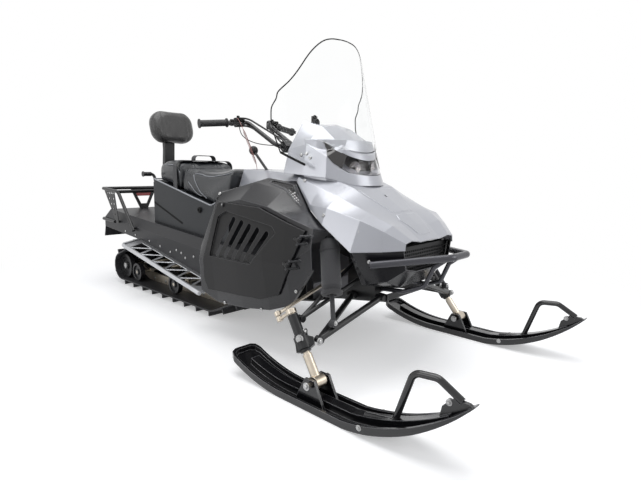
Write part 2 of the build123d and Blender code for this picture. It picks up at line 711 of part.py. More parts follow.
def snow_flap():
    """Rubber flap that hangs from the tunnel's end."""
    low = TAIL_EDGE_Z - 70
    outline = [
        (TUNNEL_REAR_X, TAIL_EDGE_Z + 40),
        (TUNNEL_REAR_X, TAIL_EDGE_Z),
        (TUNNEL_REAR_X - 20, low),
        (TUNNEL_REAR_X - 20 - FLAP_SHEET, low),
        (TUNNEL_REAR_X - FLAP_SHEET, TAIL_EDGE_Z),
        (TUNNEL_REAR_X - FLAP_SHEET, TAIL_EDGE_Z + 40),
    ]
    return side_prism(outline, -TUNNEL_HALF, TUNNEL_HALF)


def tail_lamp():
    """Lamp on the rear of the rack's middle bracket."""
    depth = 24
    return Pos(RACK_REAR_X - BRACKET_HALF - GAP - depth / 2, 0, RACK_TOP_Z - 40) * Box(depth, 120, 40)


# ---- front body -----------------------------------------------------------------------------
# x; height in the middle; then y, z of the centre panel's edge, crease, ridge and lower edge
HOOD_STATIONS = [
    (478, 792, (150, 790), (236, 781), (240, 772), (243, 763)),
    (600, 782, (160, 780), (235, 744), (284, 672), (287, 655)),
    (706, 750, (142, 745), (231, 709), (300, 667), (328, 603)),
    (860, 655, (98, 648), (204, 646), (284, 630), (338, 514)),
    (935, 600, (86, 597), (176, 608), (232, 590), (240, 513)),
    (NOSE_X, 548, (75, 546), (140, 556), (182, 548), (186, 520)),
]


# x, y corners of the right halves of the raised panels along the hood's middle
HOOD_PANELS = [
    [(724, 0), (724, -128), (862, -74), (868, 0)],
    [(880, 0), (876, -66), (900, -78), (972, -44), (978, 0)],
]


def hood_skin(rise, wall):
    """The hood's form as a sheet, moved outward by a rise."""
    stations = []
    for x, middle, *rest in HOOD_STATIONS:
        profile = both_sides([(0, middle), *rest])
        if rise:
            profile = banded(profile, -rise)[len(profile):][::-1]
        stations.append((x, banded(profile, wall)))
    return station_loft(stations)


def hood():
    """Creased cover from the lamp pod to the nose, with raised panels and a round hole."""
    cover = hood_skin(0, HOOD_WALL)
    for half in HOOD_PANELS:
        outline = half + [(x, -y) for x, y in half[::-1] if y]
        upright = extrude(Pos(0, 0, 500) * make_face(Polyline(*outline, close=True)), amount=400)
        cover += hood_skin(2.5, 4) & upright
    return cover - Pos(774, 0, 700) * Cylinder(8, 100)


KEEL = TUNNEL_HALF + GAP
# x; then y, z of the upper edge, shoulder, panel top, widest line, low edge and keel
COWL_STATIONS = [
    (-12, (398, 470), (402, 460), (412, 440), (424, 383), (414, 222), (KEEL, 215)),
    (108, (382, 704), (392, 699), (410, 650), (426, 430), (402, 184), (KEEL, 186)),
    (300, (250, 776), (330, 758), (413, 684), (431, 440), (402, 196), (KEEL, 194)),
    (478, (238, 756), (318, 728), (413, 664), (431, 440), (398, 222), (KEEL, 224)),
    (600, (280, 646), (324, 642), (411, 630), (424, 440), (390, 266), (372, 272)),
    (722, (321, 582), (342, 586), (393, 594), (405, 520), (398, 432), (384, 430)),
]
# x, z corners of the service panel, from its top rear corner
PANEL_OUTLINE = [
    (150, 668), (440, 658), (694, 584), (616, 415), (548, 303), (440, 264), (56, 238), (30, 292), (38, 389),
    (128, 628),
]


def cowl_skin(rise, wall):
    """The right cowl's form as a sheet, moved outward by a rise."""
    stations = []
    for x, *rest in COWL_STATIONS:
        profile = [(-y, z) for y, z in rest[::-1]]
        count = len(profile)
        if rise:
            profile = banded(profile, rise)[count:][::-1]
        stations.append((x, banded(profile, -wall)))
    return station_loft(stations)


def scaled_outline(points, margin):
    """An outline moved in by a margin towards its middle."""
    middle_x = sum(x for x, z in points) / len(points)
    middle_z = sum(z for x, z in points) / len(points)
    moved = []
    for x, z in points:
        reach = hypot(x - middle_x, z - middle_z)
        share = (reach - margin) / reach
        moved.append((middle_x + (x - middle_x) * share, middle_z + (z - middle_z) * share))
    return moved


def hinge_line():
    """Top and bottom of the service panel's hinge line, outside its front edge."""
    return Vector(703, -430, 584), Vector(625, -455, 415)


def hinge_eyes(radius, shares, half):
    """Short barrels on the hinge line."""
    top, foot = hinge_line()
    along = foot - top
    unit = along.normalized() * half
    barrels = [rod(top + along * share - unit, top + along * share + unit, radius) for share in shares]
    return barrels[0] + barrels[1:]


# x, y corners of the mesh window in the right cowl's top
GRILLE_OUTLINE = [(352, -268), (464, -262), (546, -293), (560, -306), (536, -312), (468, -303), (372, -298)]


def upright_prism(outline):
    """A prism over an (x, y) outline, through the whole front body."""
    return extrude(Pos(0, 0, 500) * make_face(Polyline(*outline, close=True)), amount=400)


def cowl_grille():
    """Mesh in the window in the right cowl's top, made of two crossing rows of bars."""
    outline = scaled_outline(GRILLE_OUTLINE, GAP)
    sheet = cowl_skin(-1.5, 2) & upright_prism(outline)
    us, vs = [u for u, v in outline], [v for u, v in outline]
    columns, rows = int((max(us) - min(us)) / 11), int((max(vs) - min(vs)) / 11)
    middle = ((max(us) + min(us)) / 2, (max(vs) + min(vs)) / 2)
    core = make_face(Polyline(*scaled_outline(outline, 3), close=True))
    holes = [Pos(*middle) * place * Rectangle(7, 7) for place in GridLocations(11, 11, columns, rows)]
    kept = [hole for hole in holes if core.is_inside(hole.center())]
    return sheet - extrude(Pos(0, 0, 500) * Sketch(children=kept), amount=400)


def side_cowl():
    """Right side cover of the engine bay, open behind its service panel, with the panel's hinge pins."""
    opening = side_prism(scaled_outline(PANEL_OUTLINE, 26), -500, -TUNNEL_HALF - 20)
    cowl = cowl_skin(0, COWL_WALL) - opening
    window = upright_prism(GRILLE_OUTLINE)
    cowl += cowl_skin(3, 8) & upright_prism(scaled_outline(GRILLE_OUTLINE, -9))
    cowl -= window
    top, foot = hinge_line()
    along = foot - top
    for share in (0.2, 0.8):
        middle = top + along * share
        inner = middle + Vector(26, 44, 0)
        for side in (-1, 1):
            shift = along.normalized() * (17 * side)
            cowl += rod(middle + shift, inner + shift, HINGE_PIN + 1)
    return cowl + hinge_eyes(HINGE_PIN, (0.2, 0.8), 22)


# x, z corners of the panel's sunken field, and lower and upper ends of its slots
FIELD_OUTLINE = [(84, 406), (398, 406), (556, 564), (532, 590), (206, 634), (142, 602)]
PANEL_SLOTS = [
    ((142, 424), (262, 594)), ((203, 424), (320, 584)), ((264, 424), (373, 573)), ((325, 424), (427, 562)),
    ((386, 432), (486, 552)),
]


def side_panel():
    """Right service panel on the cowl, with a sunken field and its row of slanted slots."""
    deep = PANEL_RISE - FIELD_DEPTH
    wall = deep - GAP
    beyond = (-520, -TUNNEL_HALF - 20)
    panel = cowl_skin(PANEL_RISE, PANEL_WALL) & side_prism(PANEL_OUTLINE, *beyond)
    field = side_prism(FIELD_OUTLINE, *beyond)
    panel -= side_prism(scaled_outline(FIELD_OUTLINE, 4), *beyond)
    rim = field - side_prism(scaled_outline(FIELD_OUTLINE, 9), *beyond)
    panel += cowl_skin(PANEL_RISE, FIELD_DEPTH + wall) & rim
    panel += cowl_skin(deep, wall) & side_prism(scaled_outline(FIELD_OUTLINE, 2), *beyond)
    for low, high in PANEL_SLOTS:
        panel -= slot_cut(low, high, SLOT_HALF)
    top, foot = hinge_line()
    along = foot - top
    for share in (0.2, 0.8):
        middle = top + along * share
        panel += rod(middle, middle + Vector(-34, 10, 0), HINGE_PIN + 2)
    panel += hinge_eyes(HINGE_PIN + 4, (0.2, 0.8), 9)
    return panel - hinge_eyes(HINGE_PIN + GAP, (0.2, 0.8), 30)


def slot_cut(low, high, half):
    """A slot across the machine between two (x, z) ends, round at both."""
    run = (Vector(*high) - Vector(*low)).normalized()
    side = Vector(run.Y, -run.X) * half
    corners = [Vector(*low) - side, Vector(*low) + side, Vector(*high) + side, Vector(*high) - side]
    cut = side_prism([(corner.X, corner.Y) for corner in corners], -520, -TUNNEL_HALF)
    return cut + cross_rod(*low, half, -520, -TUNNEL_HALF) + cross_rod(*high, half, -520, -TUNNEL_HALF)


def console():
    """Cover between seat and lamp pod, with the gear lever's slot and the steering column's opening."""
    # x; height in the middle; then y, z of the top edge and lower edge
    table = [
        (SEAT_FRONT_X + 10, 815, (110, 812), (150, 700)),
        (212, 812, (150, 806), (212, 756)),
        (474, 792.5, (190, 789), (240, 770)),
    ]
    cover = station_loft([(x, banded(both_sides([(0, middle), *rest]), HOOD_WALL)) for x, middle, *rest in table])
    cover -= Pos(40, -70, 800) * Box(180, 50, 120)
    return cover - Pos(262, 0, 800) * Box(164, 90, 160)


# x; then y, z of the ridge's middle, ridge, cheek and foot
POD_STATIONS = [
    (385, (0, 1026), (112, 1036), (205, 905), (236, 799.6)),
    (490, (0, 1018), (100, 1006), (200, 925), (222, 791.5)),
    (600, (0, 948), (118, 932), (180, 866), (196, 782 + GAP)),
    (640, (0, 932), (104, 905), (150, 856), (160, 770 + GAP)),
    (668, (0, 900), (60, 872), (90, 848), (100, 761.5 + GAP)),
]
# x, z outline of the headlamp's slit, from its rear tip
SLIT = [
    (556, 938), (592, 911), (642, 877), (676, 857), (760, 857), (760, 792), (700, 793), (660, 805), (620, 834),
    (589, 875),
]
# x, z of the region under the screen's lower edge, where the pod's face may stand proud of the screen
BELOW_SCREEN = [
    (200, 913), (421, 885), (542, 829), (558, 941), (700, 864), (900, 864), (900, 700), (200, 700),
]


def lamp_plan(front_x, margin):
    """The lamp housing from above: a round front and sides that open to the rear."""
    radius = LAMP_RADIUS - margin
    half = LAMP_HALF - margin
    shoulder = front_x - margin - radius + sqrt(radius**2 - half**2)
    rear = 480 + margin / 2
    front = ThreePointArc((shoulder, -half), (front_x - margin, 0), (shoulder, half))
    sides = Polyline((shoulder, half), (rear, half + 20), (rear, -half - 20), (shoulder, -half))
    return make_face(front + sides)


def lamp_block(margin):
    """The lamp housing's form, leaning back as it rises, moved in."""
    low = Pos(0, 0, LAMP_LOW_Z) * lamp_plan(LAMP_LOW_X, margin)
    high = Pos(0, 0, LAMP_HIGH_Z) * lamp_plan(LAMP_HIGH_X, margin)
    return loft([low, high], ruled=True)


def hood_underlay():
    """Everything under the hood's surface, where no part of the pod may reach."""
    stations = []
    for x, middle, *rest in HOOD_STATIONS:
        half = [(0, middle + GAP)] + [(y, z + GAP) for y, z in rest] + [(rest[-1][0], 400)]
        stations.append((x, both_sides(half)))
    return station_loft(stations)


def pod_form():
    """The lamp pod's closed form: dash hood inside the screen and the lamp housing under it."""
    dash = station_loft([(x, both_sides(rest)) for x, *rest in POD_STATIONS])
    inside = screen_column(SCREEN_RADIUS - SCREEN_SHEET - GAP)
    housing = lamp_block(0) - hood_underlay()
    return (dash & inside) + (housing & (inside + side_prism(BELOW_SCREEN, -300, 300)))


def screen_column(radius):
    """Raked column with a round front, inside which the screen's sheet stands."""
    centre = SCREEN_FRONT_X - SCREEN_RADIUS
    length = 400.0
    plan = Circle(radius) + Pos(-length / 2, 0) * Rectangle(length, 2 * radius)
    depth = 60.0  # below the sheet's foot
    height = SCREEN_TOP_Z - SCREEN_FOOT_Z + 2 * depth
    start = Pos(centre - SCREEN_RAKE * depth, 0, SCREEN_FOOT_Z - depth) * plan
    return extrude(start, amount=height * sqrt(1 + SCREEN_RAKE**2), dir=(SCREEN_RAKE, 0, 1))


def pod():
    """Headlamp housing and dash hood, with the lamps' hollow behind the slit."""
    hollow = (lamp_block(0) - lamp_block(LAMP_DEPTH)) & side_prism(SLIT, -300, 300)
    return pod_form() - hollow


def headlamp():
    """Clear lens that closes the slit in the pod."""
    shell = pod_form() & (lamp_block(0) - lamp_block(LAMP_SHEET))
    return shell & side_prism(scaled_outline(SLIT, GAP), -300, 300)


def screen_front(margin):
    """The screen's outline from the front, moved in, as a plate that cuts the sheet."""
    half = SCREEN_RADIUS - margin
    # y, z down the left edge
    edge = [(76, -4), (113, -15), (148, -41), (184, -82), (222, -148), (249, -194), (274, -231), (292, -268)]
    scale = half / SCREEN_RADIUS
    left = [(y * scale, SCREEN_TOP_Z - margin + dz) for y, dz in edge]
    left += [(half + 1, SCREEN_TOP_Z - 300), (half + 1, SCREEN_FOOT_Z - 60)]
    right = [(-y, z) for y, z in left]
    return front_prism(left + right[::-1], 0, 1000)


def screen_sheet(outer, sheet):
    """Bent and raked sheet with its foot, wings and top trimmed."""
    solid = screen_column(outer) - screen_column(outer - sheet)
    low = [(200, 915), (421, 887), (540, 831), (556, 944), (700, 866), (900, 866), (900, 700), (200, 700)]
    back = [(430, 860), (421, 887), (366, 1000), (362, 1080), (388, 1116), (388, 1500), (-100, 1500), (-100, 700)]
    return solid - side_prism(low, -400, 400) - side_prism(back + [(430, 700)], -400, 400)


def windshield():
    """Clear sheet bent to half a circle and raked back."""
    return screen_sheet(SCREEN_RADIUS, SCREEN_SHEET) & screen_front(0)


def belly_line(x):
    """Height of the belly pan's underside."""
    share = (x - TUNNEL_FRONT_X) / (BELLY_FRONT_X - TUNNEL_FRONT_X)
    return BELLY_REAR_Z + (BELLY_FRONT_Z - BELLY_REAR_Z) * share


def belly_pan():
    """Lower shell under the engine bay."""
    # x; then y, z of the keel's edge, bilge and top edge
    inner = TUNNEL_HALF - GAP
    table = [
        (TUNNEL_FRONT_X + GAP, BELLY_REAR_Z, (230, BELLY_REAR_Z), (inner, BELLY_REAR_Z + 25), (inner, 300)),
        (BELLY_FRONT_X, BELLY_FRONT_Z, (200, BELLY_FRONT_Z), (inner, BELLY_FRONT_Z + 22), (inner, 330)),
    ]
    return station_loft(
        [(x, banded(both_sides([(0, middle), *rest]), -COWL_WALL)) for x, middle, *rest in table]
    )


def engine():
    """Engine as one plain block on the belly pan, under the steering column."""
    lift = COWL_WALL * 1.02 + GAP
    rear, front = TUNNEL_FRONT_X + 22, BELLY_FRONT_X - 32
    profile = [(rear, belly_line(rear) + lift), (front, belly_line(front) + lift), (front, 316), (430, 470), (rear, 560)]
    return side_prism(profile, -ENGINE_HALF, ENGINE_HALF)


def front_frame():
    """Bulkhead of two plates and their cross members, which carries arms, dampers and bumper."""
    front = NOSE_REAR_X - GAP
    foot_x = BELLY_FRONT_X - 1
    lift = COWL_WALL * 1.02 + GAP
    profile = [
        (foot_x - 22, belly_line(foot_x - 22) + lift), (foot_x, belly_line(foot_x) + lift), (660, 262),
        (740, 272), (905, 296), (905, 326), (front, 330), (front, 520), (700, 640), (590, 640), (575, 480),
        (FRAME_REAR_X, 450), (FRAME_REAR_X, 330), (FRAME_REAR_X - 60, 271), (foot_x - 22, 266),
    ]
    frame = side_prism(profile, -FRAME_HALF, -FRAME_HALF + FRAME_PLATE)
    frame += side_prism(profile, FRAME_HALF - FRAME_PLATE, FRAME_HALF)
    # x, z low, z high of each cross plate
    for x, low, high in ((front - FRAME_PLATE / 2, 318, 520), (895, 298, 324), (FRAME_CROSS_X, 290, 570)):
        frame += Pos(x, 0, (low + high) / 2) * Box(FRAME_PLATE, 2 * FRAME_HALF, high - low)
    foot, up = column_axis()
    holder = rod(foot + up * 60, foot + up * 100, COLUMN_RADIUS + 10)
    low, high = foot + up * 62, foot + up * 98
    web = [(low.X, low.Z), (FRAME_CROSS_X, low.Z), (FRAME_CROSS_X, high.Z), (high.X, high.Z)]
    holder += side_prism(web, -12, 12)
    return frame + (holder - rod(foot, foot + up * 200, COLUMN_RADIUS + GAP))


def hood_at(x):
    """The hood's half profile at any x: height in the middle, then y, z of its lines."""
    for rear, front in zip(HOOD_STATIONS, HOOD_STATIONS[1:]):
        if x <= front[0]:
            break
    share = (x - rear[0]) / (front[0] - rear[0])
    middle = rear[1] + (front[1] - rear[1]) * share
    lines = [(y + (y2 - y) * share, z + (z2 - z) * share) for (y, z), (y2, z2) in zip(rear[2:], front[2:])]
    return middle, lines


def hood_skirt(x, rise):
    """A point just inside the hood's side wall, at a rise over its lower edge."""
    upper, edge = hood_at(x)[1][-2:]
    down = (Vector(*edge) - Vector(*upper)).normalized()
    inward = Vector(down.Y, -down.X)
    point = Vector(*edge) + inward * (HOOD_WALL + GAP) - down * rise
    return point.X, point.Y


# x; height of the keel and y of its edge; then y, z of the bilge
NOSE_STATIONS = [
    (NOSE_REAR_X, 342, 120, (238, 372)),
    (860, 345, 118, (231, 376)),
    (935, 356, 110, (198, 392)),
    (994, 424, 90, (164, 440)),
]


def nose_half(x, z):
    """Half width of the nose at a place between its bilge and the hood."""
    for rear, front in zip(NOSE_STATIONS, NOSE_STATIONS[1:]):
        if x <= front[0]:
            break
    share = (x - rear[0]) / (front[0] - rear[0])
    low = Vector(*rear[3]) + (Vector(*front[3]) - Vector(*rear[3])) * share
    high = Vector(*hood_skirt(x, 5))
    return low.X + (high.X - low.X) * (z - low.Y) / (high.Y - low.Y)


def nose():
    """Dark lower fascia under the hood's front edge."""
    stations = []
    for x, keel, keel_y, bilge in NOSE_STATIONS:
        half = [(0, keel), (keel_y, keel), bilge, hood_skirt(x, 5)]
        stations.append((x, banded(both_sides(half), -COWL_WALL)))
    return station_loft(stations)


def pierced(plane, outline, thickness, pitch, hole):
    """A flat mesh: a plate with an outline of 2D points and rows of square holes."""
    us, vs = [u for u, v in outline], [v for u, v in outline]
    face = make_face(Polyline(*outline, close=True))
    inner = offset(face, -hole / 2)
    columns, rows = int((max(us) - min(us)) / pitch) + 1, int((max(vs) - min(vs)) / pitch) + 1
    middle = Pos((max(us) + min(us)) / 2, (max(vs) + min(vs)) / 2)
    holes = [middle * place * Rectangle(hole, hole) for place in GridLocations(pitch, pitch, columns, rows)]
    kept = [cut for cut in holes if all(inner.is_inside(corner.center()) for corner in cut.vertices())]
    return extrude(plane * (face - kept), amount=thickness)


def nose_grille():
    """Mesh across the nose's mouth."""
    x = 962.0
    share = (x - NOSE_STATIONS[2][0]) / (NOSE_STATIONS[3][0] - NOSE_STATIONS[2][0])
    low = [a + (b - a) * share for a, b in zip((356, 110, 198, 392), (424, 90, 164, 440))]
    edge = hood_skirt(x, 8)
    inset = COWL_WALL * 2.1
    half = [(low[1] - 3, low[0] + inset), (low[2] - inset, low[3] + 5), (edge[0] - inset, edge[1])]
    outline = [(-y, z) for y, z in half] + half[::-1]
    plane = Plane(origin=(x, 0, 0), x_dir=(0, 1, 0), z_dir=(1, 0, 0))
    return pierced(plane, outline, 3, 14, 9)


# x, y, z of the right half of the bumper's bar, and of its strut, from the rear
BUMPER_BAR = [(912, -285, 467), (1130, -62, 496)]
BUMPER_STRUT = [(NOSE_REAR_X + 1, -100, 331), (945, -95, 338), (1018, -64, 366), (1055, -60, 448), (1116, -56, 494)]
BUMPER_STUB = 8.0


def front_bumper():
    """V-shaped tube round the nose with its bolt stubs and two curved struts."""
    bar = tube(BUMPER_BAR + [(x, -y, z) for x, y, z in BUMPER_BAR[::-1]], 14, 45)
    end_x, end_y, end_z = BUMPER_BAR[0]
    strut = tube(BUMPER_STRUT, 9, 24)
    stub = rod((end_x + 6, end_y, end_z), (end_x + 6, -nose_half(end_x + 6, end_z) - BUMPER_STUB * 1.2, end_z), BUMPER_STUB)
    return bar + strut + mirrored(strut) + stub + mirrored(stub)


# ---- steering -------------------------------------------------------------------------------
def handlebar():
    """Bent bar held in the column's clamp."""
    outer, inner, along = bar_line()
    half = [outer, inner, Vector(BAR_X, -BAR_STRAIGHT, BAR_Z)]
    points = half + [Vector(p.X, -p.Y, p.Z) for p in half[::-1]]
    return tube(points, BAR_RADIUS, 34)


def grip():
    """Right grip on the bar's end."""
    outer, inner, along = bar_line()
    start = outer - along * 8
    sleeve = rod(start, start + along * GRIP_LENGTH, GRIP_RADIUS)
    for reach in (0, GRIP_LENGTH - 5):
        sleeve += rod(start + along * reach, start + along * (reach + 5), GRIP_RADIUS + 6)
    return sleeve - rod(outer, start + along * (GRIP_LENGTH + 5), BAR_RADIUS)


def bar_line():
    """Outer and inner end of the right side's straight stretch of the bar, and the unit vector inward."""
    outer = Vector(GRIP_X - 40, -GRIP_INNER - GRIP_LENGTH, GRIP_Z - 14)
    inner = Vector(GRIP_X, -GRIP_INNER, GRIP_Z)
    along = (inner - outer).normalized()
    return outer, inner + along * BAR_INNER_STRETCH, along


def lever_blade(root, tip, width, thickness):
    """Flat finger lever between two points, as a bar with a box section."""
    plane = Plane(origin=root, x_dir=(0, 0, 1), z_dir=tip - root)
    return extrude(plane * Rectangle(width, thickness), amount=(tip - root).length)


def bar_controls():
    """Throttle block with its thumb lever on the right, and the brake block with its lever on the left."""
    outer, inner, along = bar_line()
    blocks = []
    for side, reach in ((-1, 70), (1, 170)):
        middle = inner - along * 46
        plane = Plane(origin=middle, x_dir=(0, 0, 1), z_dir=along)
        block = extrude(plane * RectangleRounded(48, 42, 12), amount=22, both=True)
        root = middle + Vector(14, 0, -6)
        knee = root + Vector(30, -20, -4)
        block += lever_blade(root, knee, 14, 10) + lever_blade(knee, knee - along * reach, 16, 6)
        block -= rod(middle - along * 60, middle + along * 30, BAR_RADIUS)
        blocks += (mirrored(block) if side > 0 else block).solids()
    return Compound(children=blocks)


def column_axis():
    """Foot of the steering column and the unit vector up it."""
    foot = Vector(COLUMN_FOOT_X, 0, COLUMN_FOOT_Z)
    return foot, (Vector(BAR_X, 0, BAR_Z) - foot).normalized()


def pitman_end():
    """Middle of the pin at the end of the column's arm."""
    foot, up = column_axis()
    return foot + Vector(-up.Z, 0, up.X) * PITMAN_REACH + up * (PITMAN_PLATE / 2)


def steering_column():
    """Inclined column with the bar's clamp on top and the tie rods' arm at its foot."""
    foot, up = column_axis()
    bar = Vector(BAR_X, 0, BAR_Z)
    column = rod(foot, bar - up * 20, COLUMN_RADIUS)
    plane = Plane(origin=bar, x_dir=(0, 1, 0), z_dir=up)
    block = extrude(plane * Rectangle(52, 44), amount=22, both=True)
    block -= cross_rod(BAR_X, BAR_Z, BAR_RADIUS, -60, 60)
    end = pitman_end()
    hub = rod(foot, foot + up * PITMAN_PLATE, COLUMN_RADIUS + 8)
    arm_plate = extrude(
        Plane(origin=foot, x_dir=(0, 1, 0), z_dir=up) * Rectangle(20, 2 * PITMAN_REACH, align=(Align.CENTER, Align.MIN)),
        amount=PITMAN_PLATE,
    )
    return column + block + hub + arm_plate + rod(end - up * 18, end + up * 18, 6)


def kingpin_axis():
    """Top of the right kingpin, the unit vector down it, and its length to the ski's bolt."""
    top = Vector(KINGPIN_TOP_X, -SKI_STANCE / 2 + KINGPIN_LEAN, KINGPIN_TOP_Z)
    foot = Vector(SKI_PIVOT_X, -SKI_STANCE / 2, SKI_PIVOT_Z)
    return top, (foot - top).normalized(), (foot - top).length


def steering_ball():
    """Centre of the right steering arm's ball: behind the kingpin and square to it."""
    top, down, reach = kingpin_axis()
    rearward = Vector(-1, 0, 0)
    rearward = (rearward - down * rearward.dot(down)).normalized()
    return top + rearward * STEERING_ARM, rearward


def arm_lug():
    """Root of the knuckle's lug on the kingpin, the bolt at its end and the unit vector between them."""
    top, down, reach = kingpin_axis()
    root = top + down * 122
    bolt = Vector(ARM_BOLT_X, -ARM_BOLT_Y, ARM_BOLT_Z)
    return root, bolt, (bolt - root).normalized()


def knuckle():
    """Right housing tube with the lug for the lower arm."""
    top, down, reach = kingpin_axis()
    outer = KINGPIN_RADIUS + HOUSING_WALL
    body = turned(top, down, [(14, outer), (94, outer), (98, outer + 8), (146, outer + 8), (150, outer), (158, outer)])
    root, bolt, along = arm_lug()
    length = (bolt - root).length
    wedge = [(-26, -34), (4, -38), (length, -15), (length, 13), (6, 27), (-26, 26)]
    plane = Plane(origin=root, x_dir=along, z_dir=down.cross(along))
    body += extrude(plane * make_face(Polyline(*wedge, close=True)), amount=15, both=True)
    return body - rod(top, top + down * 170, KINGPIN_RADIUS + GAP)


def spindle():
    """Right steered shaft: steering arm on top, shaft, leg and the ski's bolt."""
    top, down, reach = kingpin_axis()
    ball, rearward = steering_ball()
    y = -SKI_STANCE / 2
    hub = KINGPIN_RADIUS + HOUSING_WALL
    leg = KINGPIN_RADIUS + 4
    shaft = turned(
        top,
        down,
        [(-8, hub), (10, hub), (10, KINGPIN_RADIUS), (166, KINGPIN_RADIUS), (166, leg), (reach, leg)],
    )
    shaft += cross_rod(SKI_PIVOT_X, SKI_PIVOT_Z, SADDLE_HALF, y - SADDLE_HALF, y + SADDLE_HALF)
    bolt_half = SKI_WIDTH / 2 - 12
    shaft += cross_rod(SKI_PIVOT_X, SKI_PIVOT_Z, SKI_BOLT, y - bolt_half, y + bolt_half)
    shaft += rod(top + rearward * 4, ball, 7)
    return shaft + turned(ball, down, [(-34, BALL_RADIUS), (-8, BALL_RADIUS), (-8, 12), (8, 12)])


def tie_rod():
    """Right tie rod: eye on the steering arm's ball pin, and its bar to the column's arm."""
    ball, rearward = steering_ball()
    top, down, reach = kingpin_axis()
    inner = pitman_end() - Vector(0, TIE_ROD_INNER, 0)
    eye = ball - down * 22
    bar = rod(eye, inner, 7) + rod(eye - down * 8, eye + down * 8, 13)
    return bar - rod(eye - down * 30, eye + down * 30, BALL_RADIUS + GAP)


def ski_curve(rise):
    """Underside of the ski, moved up, as (x, z) arcs."""
    tail = (SKI_TAIL_X, SKI_TAIL_Z + rise)
    flat_rear = (SKI_PIVOT_X - 130, rise)
    flat_front = (SKI_PIVOT_X + 170, rise)
    tip = (SKI_TIP_X, SKI_TIP_Z - 10 + rise * 0.2)
    rear_mid = ((tail[0] + flat_rear[0]) / 2, SKI_TAIL_Z * 0.27 + rise)
    front_mid = ((tip[0] + flat_front[0]) / 2, SKI_TIP_Z * 0.26 + rise)
    return ThreePointArc(tail, rear_mid, flat_rear) + Line(flat_rear, flat_front) + ThreePointArc(
        flat_front, front_mid, tip
    )


def ski_layer(low, high, half):
    """The ski's side profile between two heights over its underside, over a half width."""
    bottom, top = ski_curve(low), ski_curve(high)
    ends = [Line(bottom @ 0, top @ 0), Line(bottom @ 1, top @ 1)]
    face = make_face(bottom.edges() + top.edges() + ends)
    plane = Plane(origin=(0, -SKI_STANCE / 2 + half, 0), x_dir=(1, 0, 0), z_dir=(0, -1, 0))
    return extrude(plane * face, amount=2 * half, dir=(0, -1, 0))


def ski_plan(margin):
    """The ski from above, moved in: cut tail corners and a tip that narrows, as an upright prism."""
    half = SKI_WIDTH / 2 - margin
    corner = 30
    waist = SKI_PIVOT_X + 260
    tail, tip = SKI_TAIL_X + margin, SKI_TIP_X - margin * 1.6
    tip_half = max(SKI_TIP_HALF - margin, 2)
    right = [
        (tail + corner, -half),
        (waist, -half),
        ((waist + tip) / 2, -half * 0.86),
        (tip - 40, -tip_half - 22),
        (tip, -tip_half),
    ]
    rear = [(tail + 9, half - 9), (tail, half - corner), (tail, corner - half), (tail + 9, 9 - half)]
    outline = right + [(x, -y) for x, y in right[::-1]] + rear
    face = make_face(Polyline(*outline, close=True))
    return extrude(Pos(0, -SKI_STANCE / 2, -20) * face, amount=400)


def ski():
    """Right ski: rockered channel with a middle ridge, a saddle for the spindle's bolt and a tip web."""
    half = SKI_WIDTH / 2
    y = -SKI_STANCE / 2
    hollow = ski_layer(SKI_SHEET, SKI_DEPTH + 20, half - SKI_WALL) & ski_plan(SKI_WALL)
    body = (ski_layer(0, SKI_DEPTH, half) & ski_plan(0)) - hollow
    ridge_rear, ridge_front = SKI_TAIL_X + 70, SKI_TIP_X - 70
    ridge = ski_layer(1, SKI_RIDGE, SKI_RIDGE_HALF) & side_prism(
        [(ridge_rear, -20), (ridge_front, -20), (ridge_front, 300), (ridge_rear + 30, 300)], y - half, y + half
    )
    body += ridge
    ear = [
        (SKI_PIVOT_X - 70, SKI_SHEET),
        (SKI_PIVOT_X + 70, SKI_SHEET),
        (SKI_PIVOT_X + 22, SKI_PIVOT_Z + 20),
        (SKI_PIVOT_X - 22, SKI_PIVOT_Z + 20),
    ]
    for side in (-1, 1):
        middle = y + side * (SADDLE_HALF + MOVING_GAP + 5)
        body += side_prism(ear, middle - 5, middle + 5)
    body += side_prism(TIP_WEB, y - 6, y + 6)
    return body - cross_rod(SKI_PIVOT_X, SKI_PIVOT_Z, SKI_BOLT + GAP, y - 100, y + 100) - ski_loop()


# x, z of the web between the tip and the end of the loop
TIP_WEB = [
    (SKI_TIP_X - 110, SKI_TIP_Z - 95), (SKI_TIP_X - 98, SKI_TIP_Z - 40), (SKI_TIP_X - 66, SKI_TIP_Z - 8),
    (SKI_TIP_X - 20, SKI_TIP_Z - 8), (SKI_TIP_X - 8, SKI_TIP_Z - 14), (SKI_TIP_X - 60, SKI_TIP_Z - 55),
]


def ski_loop():
    """Handle loop at the ski's tip, sweeping up from the middle ridge."""
    y = -SKI_STANCE / 2
    points = [(1100, y, 37), (1208, y, 56), (1268, y, 236), (1348, y, 244), (SKI_TIP_X - 40, y, SKI_TIP_Z - 10)]
    return tube(points, 11, 38)


def shock():
    """Right damper under its cloth cover, with its eyes on the bulkhead and over the lower arm."""
    eye = 14
    top, foot = Vector(722, -FRAME_HALF - 150, 550), Vector(855, -418, 258)
    along = foot - top
    cover = [(0, 10), (14, 10), (14, 34), (40, 38), (200, 38), (216, 34), (216, 9)]
    damper = turned(top, along, cover + [(along.length, 9)])
    damper += rod(top - Vector(0, 16, 0), top + Vector(0, 150 - GAP, 0), 9)
    return damper + rod(foot - Vector(12, 0, 0), foot + Vector(12, 0, 0), eye)


def suspension_arms():
    """Right lower and upper arm."""
    return Compound(children=lower_arm().solids() + upper_arm().solids())


